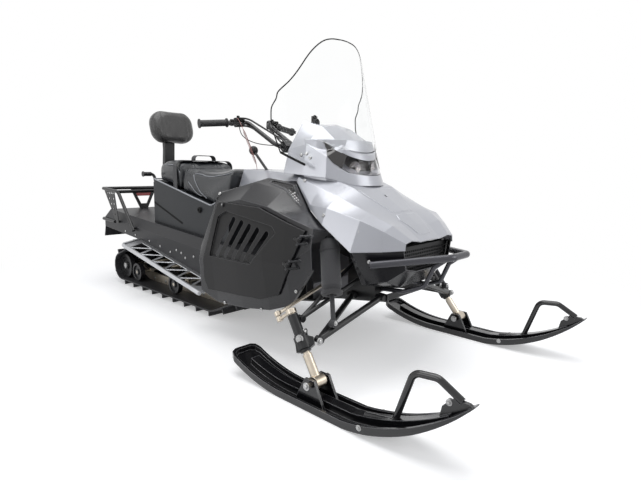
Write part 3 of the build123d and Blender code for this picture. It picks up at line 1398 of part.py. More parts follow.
def arm(inner_ends, outer, radius):
    """Rods from bushes on the bulkhead plate to one bush at the knuckle."""
    y = -FRAME_HALF - BUSH_RADIUS - GAP
    half = BUSH_LENGTH / 2
    piece = rod(outer - Vector(half * 0.7, 0, 0), outer + Vector(half * 0.7, 0, 0), BUSH_RADIUS)
    for x, z in inner_ends:
        piece += rod((x - half, y, z), (x + half, y, z), BUSH_RADIUS)
        piece += rod((x, y, z), outer, radius)
    return piece


def lower_arm():
    """Right lower arm: two tubes from the bulkhead to the knuckle's bolt."""
    root, bolt, along = arm_lug()
    seat = BUSH_RADIUS * sqrt(1 - along.X**2) + BUSH_LENGTH * 0.35 * along.X + GAP
    return arm([(735, 296), (880, 312)], bolt + along * seat, LOWER_ARM_RADIUS)


def upper_arm():
    """Right upper arm: two bare rods."""
    top, down, reach = kingpin_axis()
    housing = KINGPIN_RADIUS + HOUSING_WALL
    outer = top + down * 36 + Vector(0, housing + BUSH_RADIUS + GAP, 0)
    return arm([(742, 440), (815, 405)], outer, 8)


# ---- write the nodes ------------------------------------------------------------------------
SINGLE = [
    track, idler_wheels, slide_rails, skid_suspension, drive_axle, tunnel, seat_base, passenger_cushion,
    driver_cushion, seat_strap, backrest_pad, backrest_post, rear_rack, rear_bumper, snow_flap, tail_lamp, hood,
    console, pod, headlamp, windshield, belly_pan, front_frame, engine, nose, nose_grille, front_bumper, handlebar,
    steering_column, gear_lever, bar_controls,
]
# one node for the right and the left piece
TWO_IN_ONE = {
    "running_boards": running_board,
    "side_cowls": side_cowl,
    "cowl_grilles": cowl_grille,
    "grips": grip,
    "grab_handles": grab_handle,
    "knuckles": knuckle,
    "shocks": shock,
    "suspension_arms": suspension_arms,
}
# a node for each side, because each moves by itself
PAIRS = [side_panel, spindle, ski, ski_loop, tie_rod]

for make in SINGLE:
    write(make.__name__, make())
for name, make in TWO_IN_ONE.items():
    write(name, both(make()))
for make in PAIRS:
    piece = make()
    write(f"{make.__name__}_right", piece)
    write(f"{make.__name__}_left", mirrored(piece))
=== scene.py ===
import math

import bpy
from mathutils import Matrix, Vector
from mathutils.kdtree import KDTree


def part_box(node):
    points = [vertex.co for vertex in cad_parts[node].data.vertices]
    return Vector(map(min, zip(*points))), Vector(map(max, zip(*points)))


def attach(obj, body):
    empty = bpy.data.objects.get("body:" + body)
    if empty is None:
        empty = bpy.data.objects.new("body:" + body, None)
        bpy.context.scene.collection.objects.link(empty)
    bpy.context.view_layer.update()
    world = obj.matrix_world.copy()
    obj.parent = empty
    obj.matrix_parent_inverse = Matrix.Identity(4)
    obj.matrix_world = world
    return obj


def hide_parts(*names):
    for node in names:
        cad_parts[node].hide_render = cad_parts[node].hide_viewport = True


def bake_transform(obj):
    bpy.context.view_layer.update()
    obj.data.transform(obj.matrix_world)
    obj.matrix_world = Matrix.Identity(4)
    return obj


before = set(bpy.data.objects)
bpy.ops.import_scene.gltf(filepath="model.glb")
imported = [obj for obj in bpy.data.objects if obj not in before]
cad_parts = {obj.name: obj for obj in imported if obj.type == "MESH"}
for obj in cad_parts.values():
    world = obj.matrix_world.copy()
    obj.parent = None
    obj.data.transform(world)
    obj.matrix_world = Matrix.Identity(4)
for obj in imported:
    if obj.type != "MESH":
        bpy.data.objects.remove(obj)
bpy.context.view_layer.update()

# %% [markdown]
# # Dressing a two-seat touring snowmobile
# The frame above holds every rigid piece at its real size: belt, skid, tunnel, hood, skis and linkage.
# What is left for Blender is what a builder would call the finish. Each surface gets a material, the
# cushions get their padded form, and the small things that make a machine look used and bolted
# together are modelled one by one: bolt heads, seams, hoses, cables and lamp bowls.
# We import the few modules that the cells need.


# %% [markdown]
# ## The camera
# A product shot of a vehicle is taken from the front corner, a little over the rider's knees, with a
# short lens, so that the near ski looks large. A camera's turn is easy to get wrong with Euler angles.
# It is clearer to write down where it looks, take the sideways and upward directions from that with
# the slight roll of a hand-held shot, and put the three directions into a matrix.

# %% Camera
CAMERA_PLACE = Vector((1.9517, -1.6770, 0.8188))
CAMERA_TURN = math.radians(42.84)
CAMERA_PITCH = math.radians(8.60)
CAMERA_ROLL = math.radians(0.88)
CAMERA_LENS = 26.503


def linked(name, data):
    """A new object with this data, placed in the scene."""
    piece = bpy.data.objects.new(name, data)
    bpy.context.collection.objects.link(piece)
    return piece


def camera_matrix(place, turn, pitch, roll):
    """World matrix of a camera that looks along the turned and pitched +Y axis."""
    ahead = Vector((-math.sin(turn) * math.cos(pitch), math.cos(turn) * math.cos(pitch), -math.sin(pitch)))
    level = Vector((math.cos(turn), math.sin(turn), 0.0))
    over = level.cross(ahead)
    side = level * math.cos(roll) + over * math.sin(roll)
    over = side.cross(ahead)
    rows = [(side[k], over[k], -ahead[k], place[k]) for k in range(3)]
    return Matrix([*rows, (0.0, 0.0, 0.0, 1.0)])


camera_data = bpy.data.cameras.new("camera")
camera_data.lens = CAMERA_LENS
camera_data.sensor_fit = "HORIZONTAL"
camera_data.clip_end = 200.0
camera = linked("camera", camera_data)
camera.matrix_world = camera_matrix(CAMERA_PLACE, CAMERA_TURN, CAMERA_PITCH, CAMERA_ROLL)
bpy.context.scene.camera = camera
print("camera at", tuple(round(value, 3) for value in camera.location))


# %% [markdown]
# ## Light and floor
# A dark machine needs large lamps, because its panels show the lamps' reflections more than their
# light. One wide lamp hangs overhead, one stands at the front left and one on the right, so that every
# crease has a bright side and a dark side. The floor is pale and matt and keeps the shadow. To
# the camera, and in gloss and glass, the world round it is plain white, and the floor fades into that
# white with distance, so that no horizon shows.

# %% Lamps
def area_lamp(name, place, target, size, power):
    """A square soft lamp that points at a target."""
    data = bpy.data.lights.new(name, "AREA")
    data.shape = "SQUARE"
    data.size = size
    data.energy = power
    lamp = linked(name, data)
    lamp.location = place
    lamp.rotation_euler = (Vector(target) - Vector(place)).to_track_quat("-Z", "Y").to_euler()
    return lamp


area_lamp("overhead_lamp", (0.2, -0.3, 3.4), (0.1, 0.0, 0.5), 3.0, 92.0)
area_lamp("front_lamp", (3.8, 1.4, 2.0), (0.6, 0.0, 0.5), 2.0, 42.0)
area_lamp("side_lamp", (-0.8, -4.2, 2.2), (0.0, 0.0, 0.5), 2.6, 46.0)


# %% White surroundings
SKY_TINT = (0.90, 0.93, 1.0, 1.0)
SKY_STRENGTH = 0.40
PLAIN_WHITE = (1.0, 1.0, 1.0, 1.0)


def feed(links, value, socket):
    """Sets a socket to a number, or links another socket to it."""
    if isinstance(value, (int, float)):
        socket.default_value = value
    else:
        links.new(value, socket)


def arithmetic(nodes, links, operation, first, second, clamp=False):
    """A math node on sockets or numbers."""
    node = nodes.new("ShaderNodeMath")
    node.operation = operation
    node.use_clamp = clamp
    feed(links, first, node.inputs[0])
    feed(links, second, node.inputs[1])
    return node.outputs[0]


def mix_shaders(nodes, links, factor, first, second):
    """One shader that turns into another by a factor."""
    mix = nodes.new("ShaderNodeMixShader")
    for value, socket in zip((factor, first, second), mix.inputs):
        links.new(value, socket)
    return mix.outputs[0]


def white_to_camera(nodes, links, plain, bright):
    """Mixes to the bright shader where a ray comes from the camera, a reflection or through glass."""
    path = nodes.new("ShaderNodeLightPath")
    seen = path.outputs["Is Camera Ray"]
    for kind in ("Is Glossy Ray", "Is Transmission Ray"):
        seen = arithmetic(nodes, links, "MAXIMUM", seen, path.outputs[kind])
    return mix_shaders(nodes, links, seen, plain, bright)


def background(nodes, colour, strength):
    """An even surrounding of one colour."""
    node = nodes.new("ShaderNodeBackground")
    node.inputs["Color"].default_value = colour
    node.inputs["Strength"].default_value = strength
    return node.outputs[0]


world = bpy.data.worlds.new("studio")
bpy.context.scene.world = world
world.use_nodes = True
sky_nodes, sky_links = world.node_tree.nodes, world.node_tree.links
sky_nodes.clear()
sky = background(sky_nodes, SKY_TINT, SKY_STRENGTH)
card = background(sky_nodes, PLAIN_WHITE, 1.0)
world_output = sky_nodes.new("ShaderNodeOutputWorld")
sky_links.new(white_to_camera(sky_nodes, sky_links, sky, card), world_output.inputs["Surface"])


# %% Floor
FLOOR_SIZE = 60.0
FLOOR_Z = -0.001  # a hair under the belt, so that no faces coincide
FLOOR_GREY = 0.80
FLOOR_LIFT = 0.36  # glow near the machine that keeps the shadow pale
FADE_START = 1.3
FADE_END = 2.6


def deselect():
    """Nothing selected, and object mode."""
    if bpy.context.object and bpy.context.object.mode != "OBJECT":
        bpy.ops.object.mode_set(mode="OBJECT")
    bpy.ops.object.select_all(action="DESELECT")


def object_place(nodes):
    """Where a point is in its own object."""
    return nodes.new("ShaderNodeTexCoord").outputs["Object"]


deselect()
bpy.ops.mesh.primitive_plane_add(size=FLOOR_SIZE, location=(0.0, 0.0, FLOOR_Z))
floor = bpy.context.object
floor.name = "floor"
floor_paint = bpy.data.materials.new("floor_paint")
floor_paint.use_nodes = True
floor_nodes, floor_links = floor_paint.node_tree.nodes, floor_paint.node_tree.links
floor_nodes.clear()
matt = floor_nodes.new("ShaderNodeBsdfDiffuse")
matt.inputs["Color"].default_value = (FLOOR_GREY, FLOOR_GREY, FLOOR_GREY, 1.0)
lift = floor_nodes.new("ShaderNodeEmission")
lift.inputs["Strength"].default_value = FLOOR_LIFT
near_floor = floor_nodes.new("ShaderNodeAddShader")
floor_links.new(matt.outputs[0], near_floor.inputs[0])
floor_links.new(lift.outputs[0], near_floor.inputs[1])
far_floor = floor_nodes.new("ShaderNodeEmission")
distance = floor_nodes.new("ShaderNodeVectorMath")
distance.operation = "LENGTH"
floor_links.new(object_place(floor_nodes), distance.inputs[0])
fade = floor_nodes.new("ShaderNodeMapRange")
fade.interpolation_type = "SMOOTHSTEP"
fade.inputs["From Min"].default_value = FADE_START
fade.inputs["From Max"].default_value = FADE_END
floor_links.new(distance.outputs["Value"], fade.inputs["Value"])
faded = mix_shaders(floor_nodes, floor_links, fade.outputs["Result"], near_floor.outputs[0],
                    far_floor.outputs[0])
lit = white_to_camera(floor_nodes, floor_links, matt.outputs[0], faded)
floor_output = floor_nodes.new("ShaderNodeOutputMaterial")
floor_links.new(lit, floor_output.inputs["Surface"])
floor.data.materials.append(floor_paint)
bpy.context.scene.view_settings.view_transform = "Standard"


# %% [markdown]
# ## Shared shader effects
# Most finishes here differ in the same few ways: a patchy tone, a fine grain, and edges rubbed lighter
# by boots and gloves. Node groups hold these effects once. The first gives a patchy tone and a
# roughness that varies with it. The second finds edges, by comparing the flat normal with one that is
# averaged round the edge, and also hands on that rounded normal, which takes the razor look off sheet
# and moulded edges.

# %% Helpers for node groups
FLOAT = "NodeSocketFloat"
COLOUR = "NodeSocketColor"
VECTOR = "NodeSocketVector"


def new_group(name, inputs, outputs):
    """A shader node group with named sockets."""
    group = bpy.data.node_groups.new(name, "ShaderNodeTree")
    for label, kind, value in inputs:
        socket = group.interface.new_socket(label, in_out="INPUT", socket_type=kind)
        socket.default_value = value
    for label, kind in outputs:
        group.interface.new_socket(label, in_out="OUTPUT", socket_type=kind)
    return group, group.nodes.new("NodeGroupInput"), group.nodes.new("NodeGroupOutput")


def noise(nodes, links, vector, scale, detail, roughness=0.5):
    """A noise texture on a vector."""
    texture = nodes.new("ShaderNodeTexNoise")
    texture.inputs["Detail"].default_value = detail
    texture.inputs["Roughness"].default_value = roughness
    links.new(vector, texture.inputs["Vector"])
    feed(links, scale, texture.inputs["Scale"])
    return texture.outputs["Fac"]


# %% Node group: uneven surface
uneven, uneven_in, uneven_out = new_group(
    "uneven_surface",
    [
        ("Colour", COLOUR, (0.5, 0.5, 0.5, 1.0)),
        ("Patch Scale", FLOAT, 4.0),
        ("Patch Depth", FLOAT, 0.1),
        ("Grain Scale", FLOAT, 900.0),
        ("Roughness", FLOAT, 0.5),
        ("Roughness Spread", FLOAT, 0.1),
    ],
    [("Colour", COLOUR), ("Roughness", FLOAT), ("Grain", FLOAT)],
)
un, ul = uneven.nodes, uneven.links
place = object_place(un)
patches = noise(un, ul, place, uneven_in.outputs["Patch Scale"], 5.0, 0.6)
grain = noise(un, ul, place, uneven_in.outputs["Grain Scale"], 2.0)
centred = arithmetic(un, ul, "SUBTRACT", patches, 0.5)
tone = arithmetic(un, ul, "MULTIPLY", centred, uneven_in.outputs["Patch Depth"])
tone = arithmetic(un, ul, "ADD", tone, 1.0)
scaled = un.new("ShaderNodeVectorMath")
scaled.operation = "SCALE"
ul.new(uneven_in.outputs["Colour"], scaled.inputs[0])
ul.new(tone, scaled.inputs["Scale"])
ul.new(scaled.outputs[0], uneven_out.inputs["Colour"])
spread = arithmetic(un, ul, "MULTIPLY", centred, uneven_in.outputs["Roughness Spread"])
ul.new(arithmetic(un, ul, "ADD", uneven_in.outputs["Roughness"], spread), uneven_out.inputs["Roughness"])
ul.new(grain, uneven_out.inputs["Grain"])

# %% Node group: edges
edges, edges_in, edges_out = new_group(
    "edges",
    [("Radius", FLOAT, 0.003), ("Sharpness", FLOAT, 6.0), ("Break Up", FLOAT, 40.0)],
    [("Mask", FLOAT), ("Normal", VECTOR)],
)
en, el = edges.nodes, edges.links
rounded = en.new("ShaderNodeBevel")
rounded.samples = 4
el.new(edges_in.outputs["Radius"], rounded.inputs["Radius"])
flat_normal = en.new("ShaderNodeNewGeometry").outputs["Normal"]
agreement = en.new("ShaderNodeVectorMath")
agreement.operation = "DOT_PRODUCT"
el.new(rounded.outputs["Normal"], agreement.inputs[0])
el.new(flat_normal, agreement.inputs[1])
bend = arithmetic(en, el, "SUBTRACT", 1.0, agreement.outputs["Value"])
bend = arithmetic(en, el, "MULTIPLY", bend, edges_in.outputs["Sharpness"])
broken = noise(en, el, object_place(en), edges_in.outputs["Break Up"], 4.0)
el.new(arithmetic(en, el, "MULTIPLY", bend, broken, clamp=True), edges_out.inputs["Mask"])
el.new(rounded.outputs["Normal"], edges_out.inputs["Normal"])

# %% [markdown]
# Three more effects belong to one kind of stuff each. Vinyl has small cells divided by creases, which
# a Voronoi texture's distance to its cell edges gives. Woven webbing and nylon have two crossing sets
# of threads, made from two sine waves, of which the higher one shows. Rolled sheet and machined metal
# have fine lines in one direction, which is a noise stretched along one axis.

# %% Node group: leather grain
leather, leather_in, leather_out = new_group(
    "leather_grain",
    [("Cells", FLOAT, 520.0), ("Folds", FLOAT, 22.0), ("Fold Share", FLOAT, 0.6)],
    [("Height", FLOAT), ("Crease", FLOAT)],
)
ln, ll = leather.nodes, leather.links
skin = object_place(ln)
cells = ln.new("ShaderNodeTexVoronoi")
cells.feature = "DISTANCE_TO_EDGE"
ll.new(skin, cells.inputs["Vector"])
ll.new(leather_in.outputs["Cells"], cells.inputs["Scale"])
crease = arithmetic(ln, ll, "MULTIPLY", cells.outputs["Distance"], 6.0, clamp=True)
folds = noise(ln, ll, skin, leather_in.outputs["Folds"], 3.0)
raised = arithmetic(ln, ll, "MULTIPLY", folds, leather_in.outputs["Fold Share"])
ll.new(arithmetic(ln, ll, "ADD", crease, raised), leather_out.inputs["Height"])
ll.new(crease, leather_out.inputs["Crease"])

# %% Node group: weave
weave, weave_in, weave_out = new_group(
    "weave",
    [("Threads", FLOAT, 700.0), ("Slack", FLOAT, 0.2)],
    [("Height", FLOAT), ("Thread", FLOAT)],
)
wn, wl = weave.nodes, weave.links
cloth_place = object_place(wn)
axes = wn.new("ShaderNodeSeparateXYZ")
wl.new(cloth_place, axes.inputs[0])
around = arithmetic(wn, wl, "ADD", axes.outputs["X"], axes.outputs["Y"])
waves = []
for run in (around, axes.outputs["Z"]):
    phase = arithmetic(wn, wl, "MULTIPLY", run, weave_in.outputs["Threads"])
    wave = arithmetic(wn, wl, "SINE", phase, 0.0)
    waves.append(arithmetic(wn, wl, "ABSOLUTE", wave, 0.0))
thread = arithmetic(wn, wl, "MAXIMUM", *waves)
slack = noise(wn, wl, cloth_place, 60.0, 3.0)
slack = arithmetic(wn, wl, "MULTIPLY", slack, weave_in.outputs["Slack"])
wl.new(arithmetic(wn, wl, "ADD", thread, slack), weave_out.inputs["Height"])
wl.new(thread, weave_out.inputs["Thread"])

# %% Node group: drawn lines
drawn, drawn_in, drawn_out = new_group(
    "drawn_lines",
    [("Stretch", VECTOR, (30.0, 900.0, 900.0)), ("Dirt Scale", FLOAT, 12.0)],
    [("Lines", FLOAT), ("Dirt", FLOAT)],
)
dn, dl = drawn.nodes, drawn.links
metal_place = object_place(dn)
stretched = dn.new("ShaderNodeVectorMath")
stretched.operation = "MULTIPLY"
dl.new(metal_place, stretched.inputs[0])
dl.new(drawn_in.outputs["Stretch"], stretched.inputs[1])
dl.new(noise(dn, dl, stretched.outputs[0], 1.0, 3.0, 0.6), drawn_out.inputs["Lines"])
dl.new(noise(dn, dl, metal_place, drawn_in.outputs["Dirt Scale"], 6.0, 0.65), drawn_out.inputs["Dirt"])


# %% [markdown]
# ## One recipe for the hard finishes
# Paint, moulded plastic and rubber can share one recipe: the uneven surface gives colour and
# roughness, the edge mask brings in a worn colour, and the grain lifts the surface through a bump.
# What is the same all over, such as how metallic a finish is, is typed into the shader itself.

# %% Hard finish recipe
def shader(name):
    """A new material with its shader and output."""
    material = bpy.data.materials.new(name)
    material.use_nodes = True
    nodes = material.node_tree.nodes
    nodes.clear()
    surface = nodes.new("ShaderNodeBsdfPrincipled")
    output = nodes.new("ShaderNodeOutputMaterial")
    material.node_tree.links.new(surface.outputs[0], output.inputs["Surface"])
    return material, nodes, material.node_tree.links, surface


def use_group(nodes, group, **values):
    """A group placed in a material with its own values."""
    node = nodes.new("ShaderNodeGroup")
    node.node_tree = group
    for label, value in values.items():
        node.inputs[label.replace("_", " ").title()].default_value = value
    return node


def mix_colour(nodes, links, factor, first, second):
    """Two colours, sockets or values, mixed by a factor socket."""
    mix = nodes.new("ShaderNodeMix")
    mix.data_type = "RGBA"
    links.new(factor, mix.inputs["Factor"])
    for socket, value in ((mix.inputs["A"], first), (mix.inputs["B"], second)):
        if isinstance(value, tuple):
            socket.default_value = (*value, 1.0)
        else:
            links.new(value, socket)
    return mix.outputs["Result"]


def bump(nodes, links, height, depth, normal=None):
    """A bump of a real depth in metres over an existing normal."""
    node = nodes.new("ShaderNodeBump")
    node.inputs["Strength"].default_value = 1.0
    node.inputs["Distance"].default_value = depth
    links.new(height, node.inputs["Height"])
    if normal:
        links.new(normal, node.inputs["Normal"])
    return node.outputs["Normal"]


def hard_finish(name, colour, roughness, metallic=0.0, worn=None, wear=4.0, patch=0.12,
                grain_scale=900.0, grain_depth=0.0, edge=0.003, coat=0.0, specular=0.5):
    """A rigid surface with patchy tone, rubbed edges and fine grain."""
    material, nodes, links, surface = shader(name)
    surface.inputs["Metallic"].default_value = metallic
    surface.inputs["Coat Weight"].default_value = coat
    surface.inputs["Coat Roughness"].default_value = 0.08
    surface.inputs["Specular IOR Level"].default_value = specular
    base = use_group(nodes, uneven, colour=(*colour, 1.0), patch_depth=patch, grain_scale=grain_scale,
                     roughness=roughness, roughness_spread=0.12)
    rim = use_group(nodes, edges, radius=edge, sharpness=wear)
    rubbed = worn or tuple(min(1.0, value * 1.6 + 0.03) for value in colour)
    tinted = mix_colour(nodes, links, rim.outputs["Mask"], base.outputs["Colour"], rubbed)
    links.new(tinted, surface.inputs["Base Color"])
    links.new(base.outputs["Roughness"], surface.inputs["Roughness"])
    normal = rim.outputs["Normal"]
    if grain_depth:
        normal = bump(nodes, links, base.outputs["Grain"], grain_depth, normal)
    links.new(normal, surface.inputs["Normal"])
    return material


# %% [markdown]
# The body of the machine has a pale silver paint with a clear coat, and dark moulded plastic with a
# fine spark-eroded grain. Chassis parts are painted black, the skis are glossy polyethylene, and the
# belt is dull rubber with a few lighter scuffs.

# %% Paints, plastics and rubber
silver_paint = hard_finish("silver_paint", (0.37, 0.378, 0.41), 0.34, 0.45, worn=(0.66, 0.67, 0.71),
                           wear=6.0, coat=0.5, patch=0.06, grain_depth=0.00001, edge=0.004)
charcoal_plastic = hard_finish("charcoal_plastic", (0.015, 0.0146, 0.015), 0.50, specular=0.22,
                               grain_depth=0.00010, grain_scale=1500.0, edge=0.005,
                               worn=(0.13, 0.13, 0.132), wear=8.0)
cowl_plastic = hard_finish("cowl_plastic", (0.011, 0.011, 0.013), 0.24, specular=0.32,
                           grain_depth=0.00004, grain_scale=1500.0, edge=0.005,
                           worn=(0.20, 0.20, 0.21), wear=8.0, coat=0.12)
black_paint = hard_finish("black_paint", (0.010, 0.010, 0.011), 0.32, specular=0.4,
                          worn=(0.16, 0.16, 0.16), wear=3.0)
dark_sheet = hard_finish("dark_sheet", (0.013, 0.013, 0.015), 0.40, specular=0.35,
                         worn=(0.20, 0.20, 0.21), wear=3.0)
mesh_black = hard_finish("mesh_black", (0.008, 0.008, 0.009), 0.5, worn=(0.05, 0.05, 0.05))
seat_plastic = hard_finish("seat_plastic", (0.018, 0.020, 0.023), 0.40, specular=0.3,
                           grain_depth=0.0002, grain_scale=700.0, patch=0.25, edge=0.006,
                           worn=(0.09, 0.09, 0.10))
track_rubber = hard_finish("track_rubber", (0.016, 0.016, 0.018), 0.55, patch=0.5, grain_depth=0.0003,
                           grain_scale=260.0, worn=(0.09, 0.09, 0.095), wear=6.0)
wheel_plastic = hard_finish("wheel_plastic", (0.011, 0.011, 0.012), 0.36, specular=0.4,
                            worn=(0.12, 0.12, 0.12))
ski_plastic = hard_finish("ski_plastic", (0.006, 0.006, 0.007), 0.18, specular=0.45,
                          worn=(0.22, 0.22, 0.23), wear=8.0, coat=0.25, edge=0.004)
bumper_paint = hard_finish("bumper_paint", (0.06, 0.06, 0.068), 0.26, 0.55, worn=(0.5, 0.5, 0.5),
                           wear=2.0)
grip_rubber = hard_finish("grip_rubber", (0.012, 0.012, 0.013), 0.6, grain_depth=0.0002,
                          grain_scale=400.0)
engine_metal = hard_finish("engine_metal", (0.16, 0.16, 0.17), 0.5, 0.7)
lamp_red = hard_finish("lamp_red", (0.30, 0.008, 0.010), 0.16, coat=0.5)
# Piping and welts are black vinyl; this light grey is a painted highlight.
piping_painted_highlight = hard_finish("piping_painted_highlight", (0.30, 0.31, 0.33), 0.36, patch=0.3)
# Near-black for rubber trims and clamps, and as painted shade in grooves, the seat base's hole and behind the
# intake meshes.
black_trim_and_painted_shade = hard_finish("black_trim_and_painted_shade", (0.004, 0.004, 0.004), 0.7, specular=0.2)
lamp_dark = hard_finish("lamp_dark", (0.012, 0.010, 0.010), 0.08, specular=0.5, coat=0.6)
bucket_black = hard_finish("bucket_black", (0.016, 0.014, 0.014), 0.35, specular=0.3)
lanyard_red = hard_finish("lanyard_red", (0.28, 0.13, 0.12), 0.4)

# %% [markdown]
# Bare metals get the drawn lines. Rolled aluminium shows them along its length, and zinc plate is
# yellowish in patches where its passivation is thick.

# %% Bare metals
def bare_metal(name, clean, dull, roughness, stretch, line_depth):
    """Metal with lines in one direction and duller patches."""
    material, nodes, links, surface = shader(name)
    surface.inputs["Metallic"].default_value = 1.0
    lines = use_group(nodes, drawn, stretch=stretch)
    rim = use_group(nodes, edges, radius=0.002, sharpness=4.0)
    mixed_tone = mix_colour(nodes, links, lines.outputs["Dirt"], clean, dull)
    bright = tuple(min(1.0, value * 1.25) for value in clean)
    tinted = mix_colour(nodes, links, rim.outputs["Mask"], mixed_tone, bright)
    links.new(tinted, surface.inputs["Base Color"])
    varied = arithmetic(nodes, links, "MULTIPLY", lines.outputs["Lines"], 0.25)
    varied = arithmetic(nodes, links, "ADD", varied, roughness)
    links.new(varied, surface.inputs["Roughness"])
    lined = bump(nodes, links, lines.outputs["Lines"], line_depth, rim.outputs["Normal"])
    links.new(lined, surface.inputs["Normal"])
    return material


ROLLED = (20.0, 700.0, 700.0)  # lines along X
ALL_WAYS = (300.0, 300.0, 300.0)
bare_aluminium = bare_metal("bare_aluminium", (0.66, 0.67, 0.69), (0.40, 0.41, 0.43), 0.22, ROLLED, 0.00004)
rail_metal = bare_metal("rail_metal", (0.60, 0.55, 0.46), (0.36, 0.32, 0.26), 0.26, ROLLED, 0.00004)
zinc_plate = bare_metal("zinc_plate", (0.64, 0.60, 0.54), (0.42, 0.34, 0.24), 0.20, ALL_WAYS, 0.00003)
chrome = bare_metal("chrome", (0.52, 0.50, 0.49), (0.30, 0.28, 0.27), 0.08, (60.0, 60.0, 60.0), 0.00001)
grey_steel = bare_metal("grey_steel", (0.50, 0.50, 0.50), (0.30, 0.30, 0.30), 0.22, ALL_WAYS, 0.00002)

# %% [markdown]
# Vinyl and cloth take their look from the grain groups: the crease between two leather cells is darker
# and duller than the cell, and a raised thread catches light at a grazing angle, which sheen adds.

# %% Vinyl, webbing and nylon
def vinyl(name, colour, crease_colour, roughness, cells):
    """Grained seat vinyl."""
    material, nodes, links, surface = shader(name)
    surface.inputs["Specular IOR Level"].default_value = 0.45
    surface.inputs["Coat Weight"].default_value = 0.35
    surface.inputs["Coat Roughness"].default_value = 0.16
    grain_node = use_group(nodes, leather, cells=cells)
    base = use_group(nodes, uneven, colour=(*colour, 1.0), patch_scale=7.0, patch_depth=0.25,
                     roughness=roughness, roughness_spread=0.16)
    tinted = mix_colour(nodes, links, grain_node.outputs["Crease"], crease_colour, base.outputs["Colour"])
    links.new(tinted, surface.inputs["Base Color"])
    links.new(base.outputs["Roughness"], surface.inputs["Roughness"])
    links.new(bump(nodes, links, grain_node.outputs["Height"], 0.00025), surface.inputs["Normal"])
    return material


def woven(name, colour, thread_colour, threads, depth):
    """Woven webbing or nylon."""
    material, nodes, links, surface = shader(name)
    surface.inputs["Roughness"].default_value = 0.8
    surface.inputs["Sheen Weight"].default_value = 0.3
    yarn = use_group(nodes, weave, threads=threads)
    tinted = mix_colour(nodes, links, yarn.outputs["Thread"], colour, thread_colour)
    links.new(tinted, surface.inputs["Base Color"])
    links.new(bump(nodes, links, yarn.outputs["Height"], depth), surface.inputs["Normal"])
    return material


seat_vinyl = vinyl("seat_vinyl", (0.017, 0.020, 0.024), (0.010, 0.011, 0.013), 0.30, 520.0)
back_vinyl = vinyl("back_vinyl", (0.012, 0.011, 0.011), (0.005, 0.005, 0.005), 0.20, 520.0)
strap_webbing = woven("strap_webbing", (0.006, 0.006, 0.007), (0.022, 0.022, 0.024), 1500.0, 0.0003)
damper_nylon = woven("damper_nylon", (0.010, 0.010, 0.011), (0.030, 0.030, 0.033), 2200.0, 0.0002)


# %% [markdown]
# The screen, the lamp's lens and its bulbs are clear. A low index of refraction keeps the thin sheet from
# bending what is behind it, because a real sheet's two faces cancel most of that.

# %% Clear plastic
def clear_sheet(name, tint, roughness, index):
    """Clear plastic: light passes, and gloss stays."""
    material, nodes, links, surface = shader(name)
    surface.inputs["Transmission Weight"].default_value = 1.0
    surface.inputs["IOR"].default_value = index
    surface.inputs["Roughness"].default_value = roughness
    streaks = use_group(nodes, uneven, colour=(*tint, 1.0), patch_scale=3.0, patch_depth=0.05)
    links.new(streaks.outputs["Colour"], surface.inputs["Base Color"])
    return material


screen_clear = clear_sheet("screen_clear", (0.985, 0.99, 0.99), 0.01, 1.10)
lamp_clear = clear_sheet("lamp_clear", (0.97, 0.97, 0.98), 0.01, 1.20)

# %% [markdown]
# Every node of the frame now gets the finish of its real counterpart. A table from node name to finish
# is easy to read and to correct, and a node that is missing from it stops the script at once.

# %% Finish of each node
NODE_FINISH = {
    "track": track_rubber, "idler_wheels": wheel_plastic, "drive_axle": wheel_plastic,
    "slide_rails": rail_metal, "skid_suspension": black_paint, "tunnel": dark_sheet,
    "running_boards": bare_aluminium, "seat_base": seat_plastic, "passenger_cushion": seat_vinyl,
    "driver_cushion": seat_vinyl, "seat_strap": strap_webbing, "backrest_pad": back_vinyl,
    "backrest_post": black_paint, "rear_rack": black_paint, "rear_bumper": black_paint,
    "snow_flap": track_rubber, "tail_lamp": lamp_red, "hood": silver_paint, "console": silver_paint,
    "pod": silver_paint, "headlamp": lamp_clear, "windshield": screen_clear,
    "belly_pan": charcoal_plastic, "front_frame": black_paint, "engine": engine_metal,
    "nose": cowl_plastic, "nose_grille": mesh_black, "cowl_grilles": mesh_black,
    "front_bumper": bumper_paint, "handlebar": black_paint, "steering_column": black_paint,
    "gear_lever": black_paint, "bar_controls": charcoal_plastic, "side_cowls": cowl_plastic,
    "grips": grip_rubber, "grab_handles": black_paint, "knuckles": black_paint, "shocks": damper_nylon,
    "suspension_arms": black_paint, "side_panel_right": charcoal_plastic,
    "side_panel_left": charcoal_plastic,
    "spindle_right": zinc_plate, "spindle_left": zinc_plate, "ski_right": ski_plastic,
    "ski_left": ski_plastic, "ski_loop_right": ski_plastic, "ski_loop_left": ski_plastic,
    "tie_rod_right": zinc_plate, "tie_rod_left": zinc_plate,
}
for node_name, node_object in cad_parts.items():
    for material_slot in node_object.material_slots:
        material_slot.material = NODE_FINISH[node_name]
print("finishes:", len(set(NODE_FINISH.values())), "on", len(NODE_FINISH), "nodes")


# %% [markdown]
# ## Helpers for modelling
# Small pieces are made the way they are by hand: a primitive, a few edit-mode steps, then a finish and
# a body to ride on. What repeats is modelled once as a pattern that stands on the XY plane, and the
# pattern is then set down wherever one is needed. Bolts and screws sit on curved sheet, so a helper
# finds the nearest point of a CAD node and the way its surface faces there.

# %% Naming, joining and editing
def activate(piece):
    """Makes an object the only selected one, and the active one."""
    deselect()
    piece.select_set(True)
    bpy.context.view_layer.objects.active = piece


def finish_piece(name, material, body, smooth=35.0):
    """The active object gets its name, finish and body, with its place in its mesh."""
    piece = bpy.context.object
    piece.name = name
    piece.data.name = name
    bpy.ops.object.transform_apply(location=True, rotation=True, scale=True)
    piece.data.materials.clear()
    piece.data.materials.append(material)
    bpy.ops.object.shade_smooth_by_angle(angle=math.radians(smooth))
    if body:
        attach(piece, body)
    deselect()
    return piece


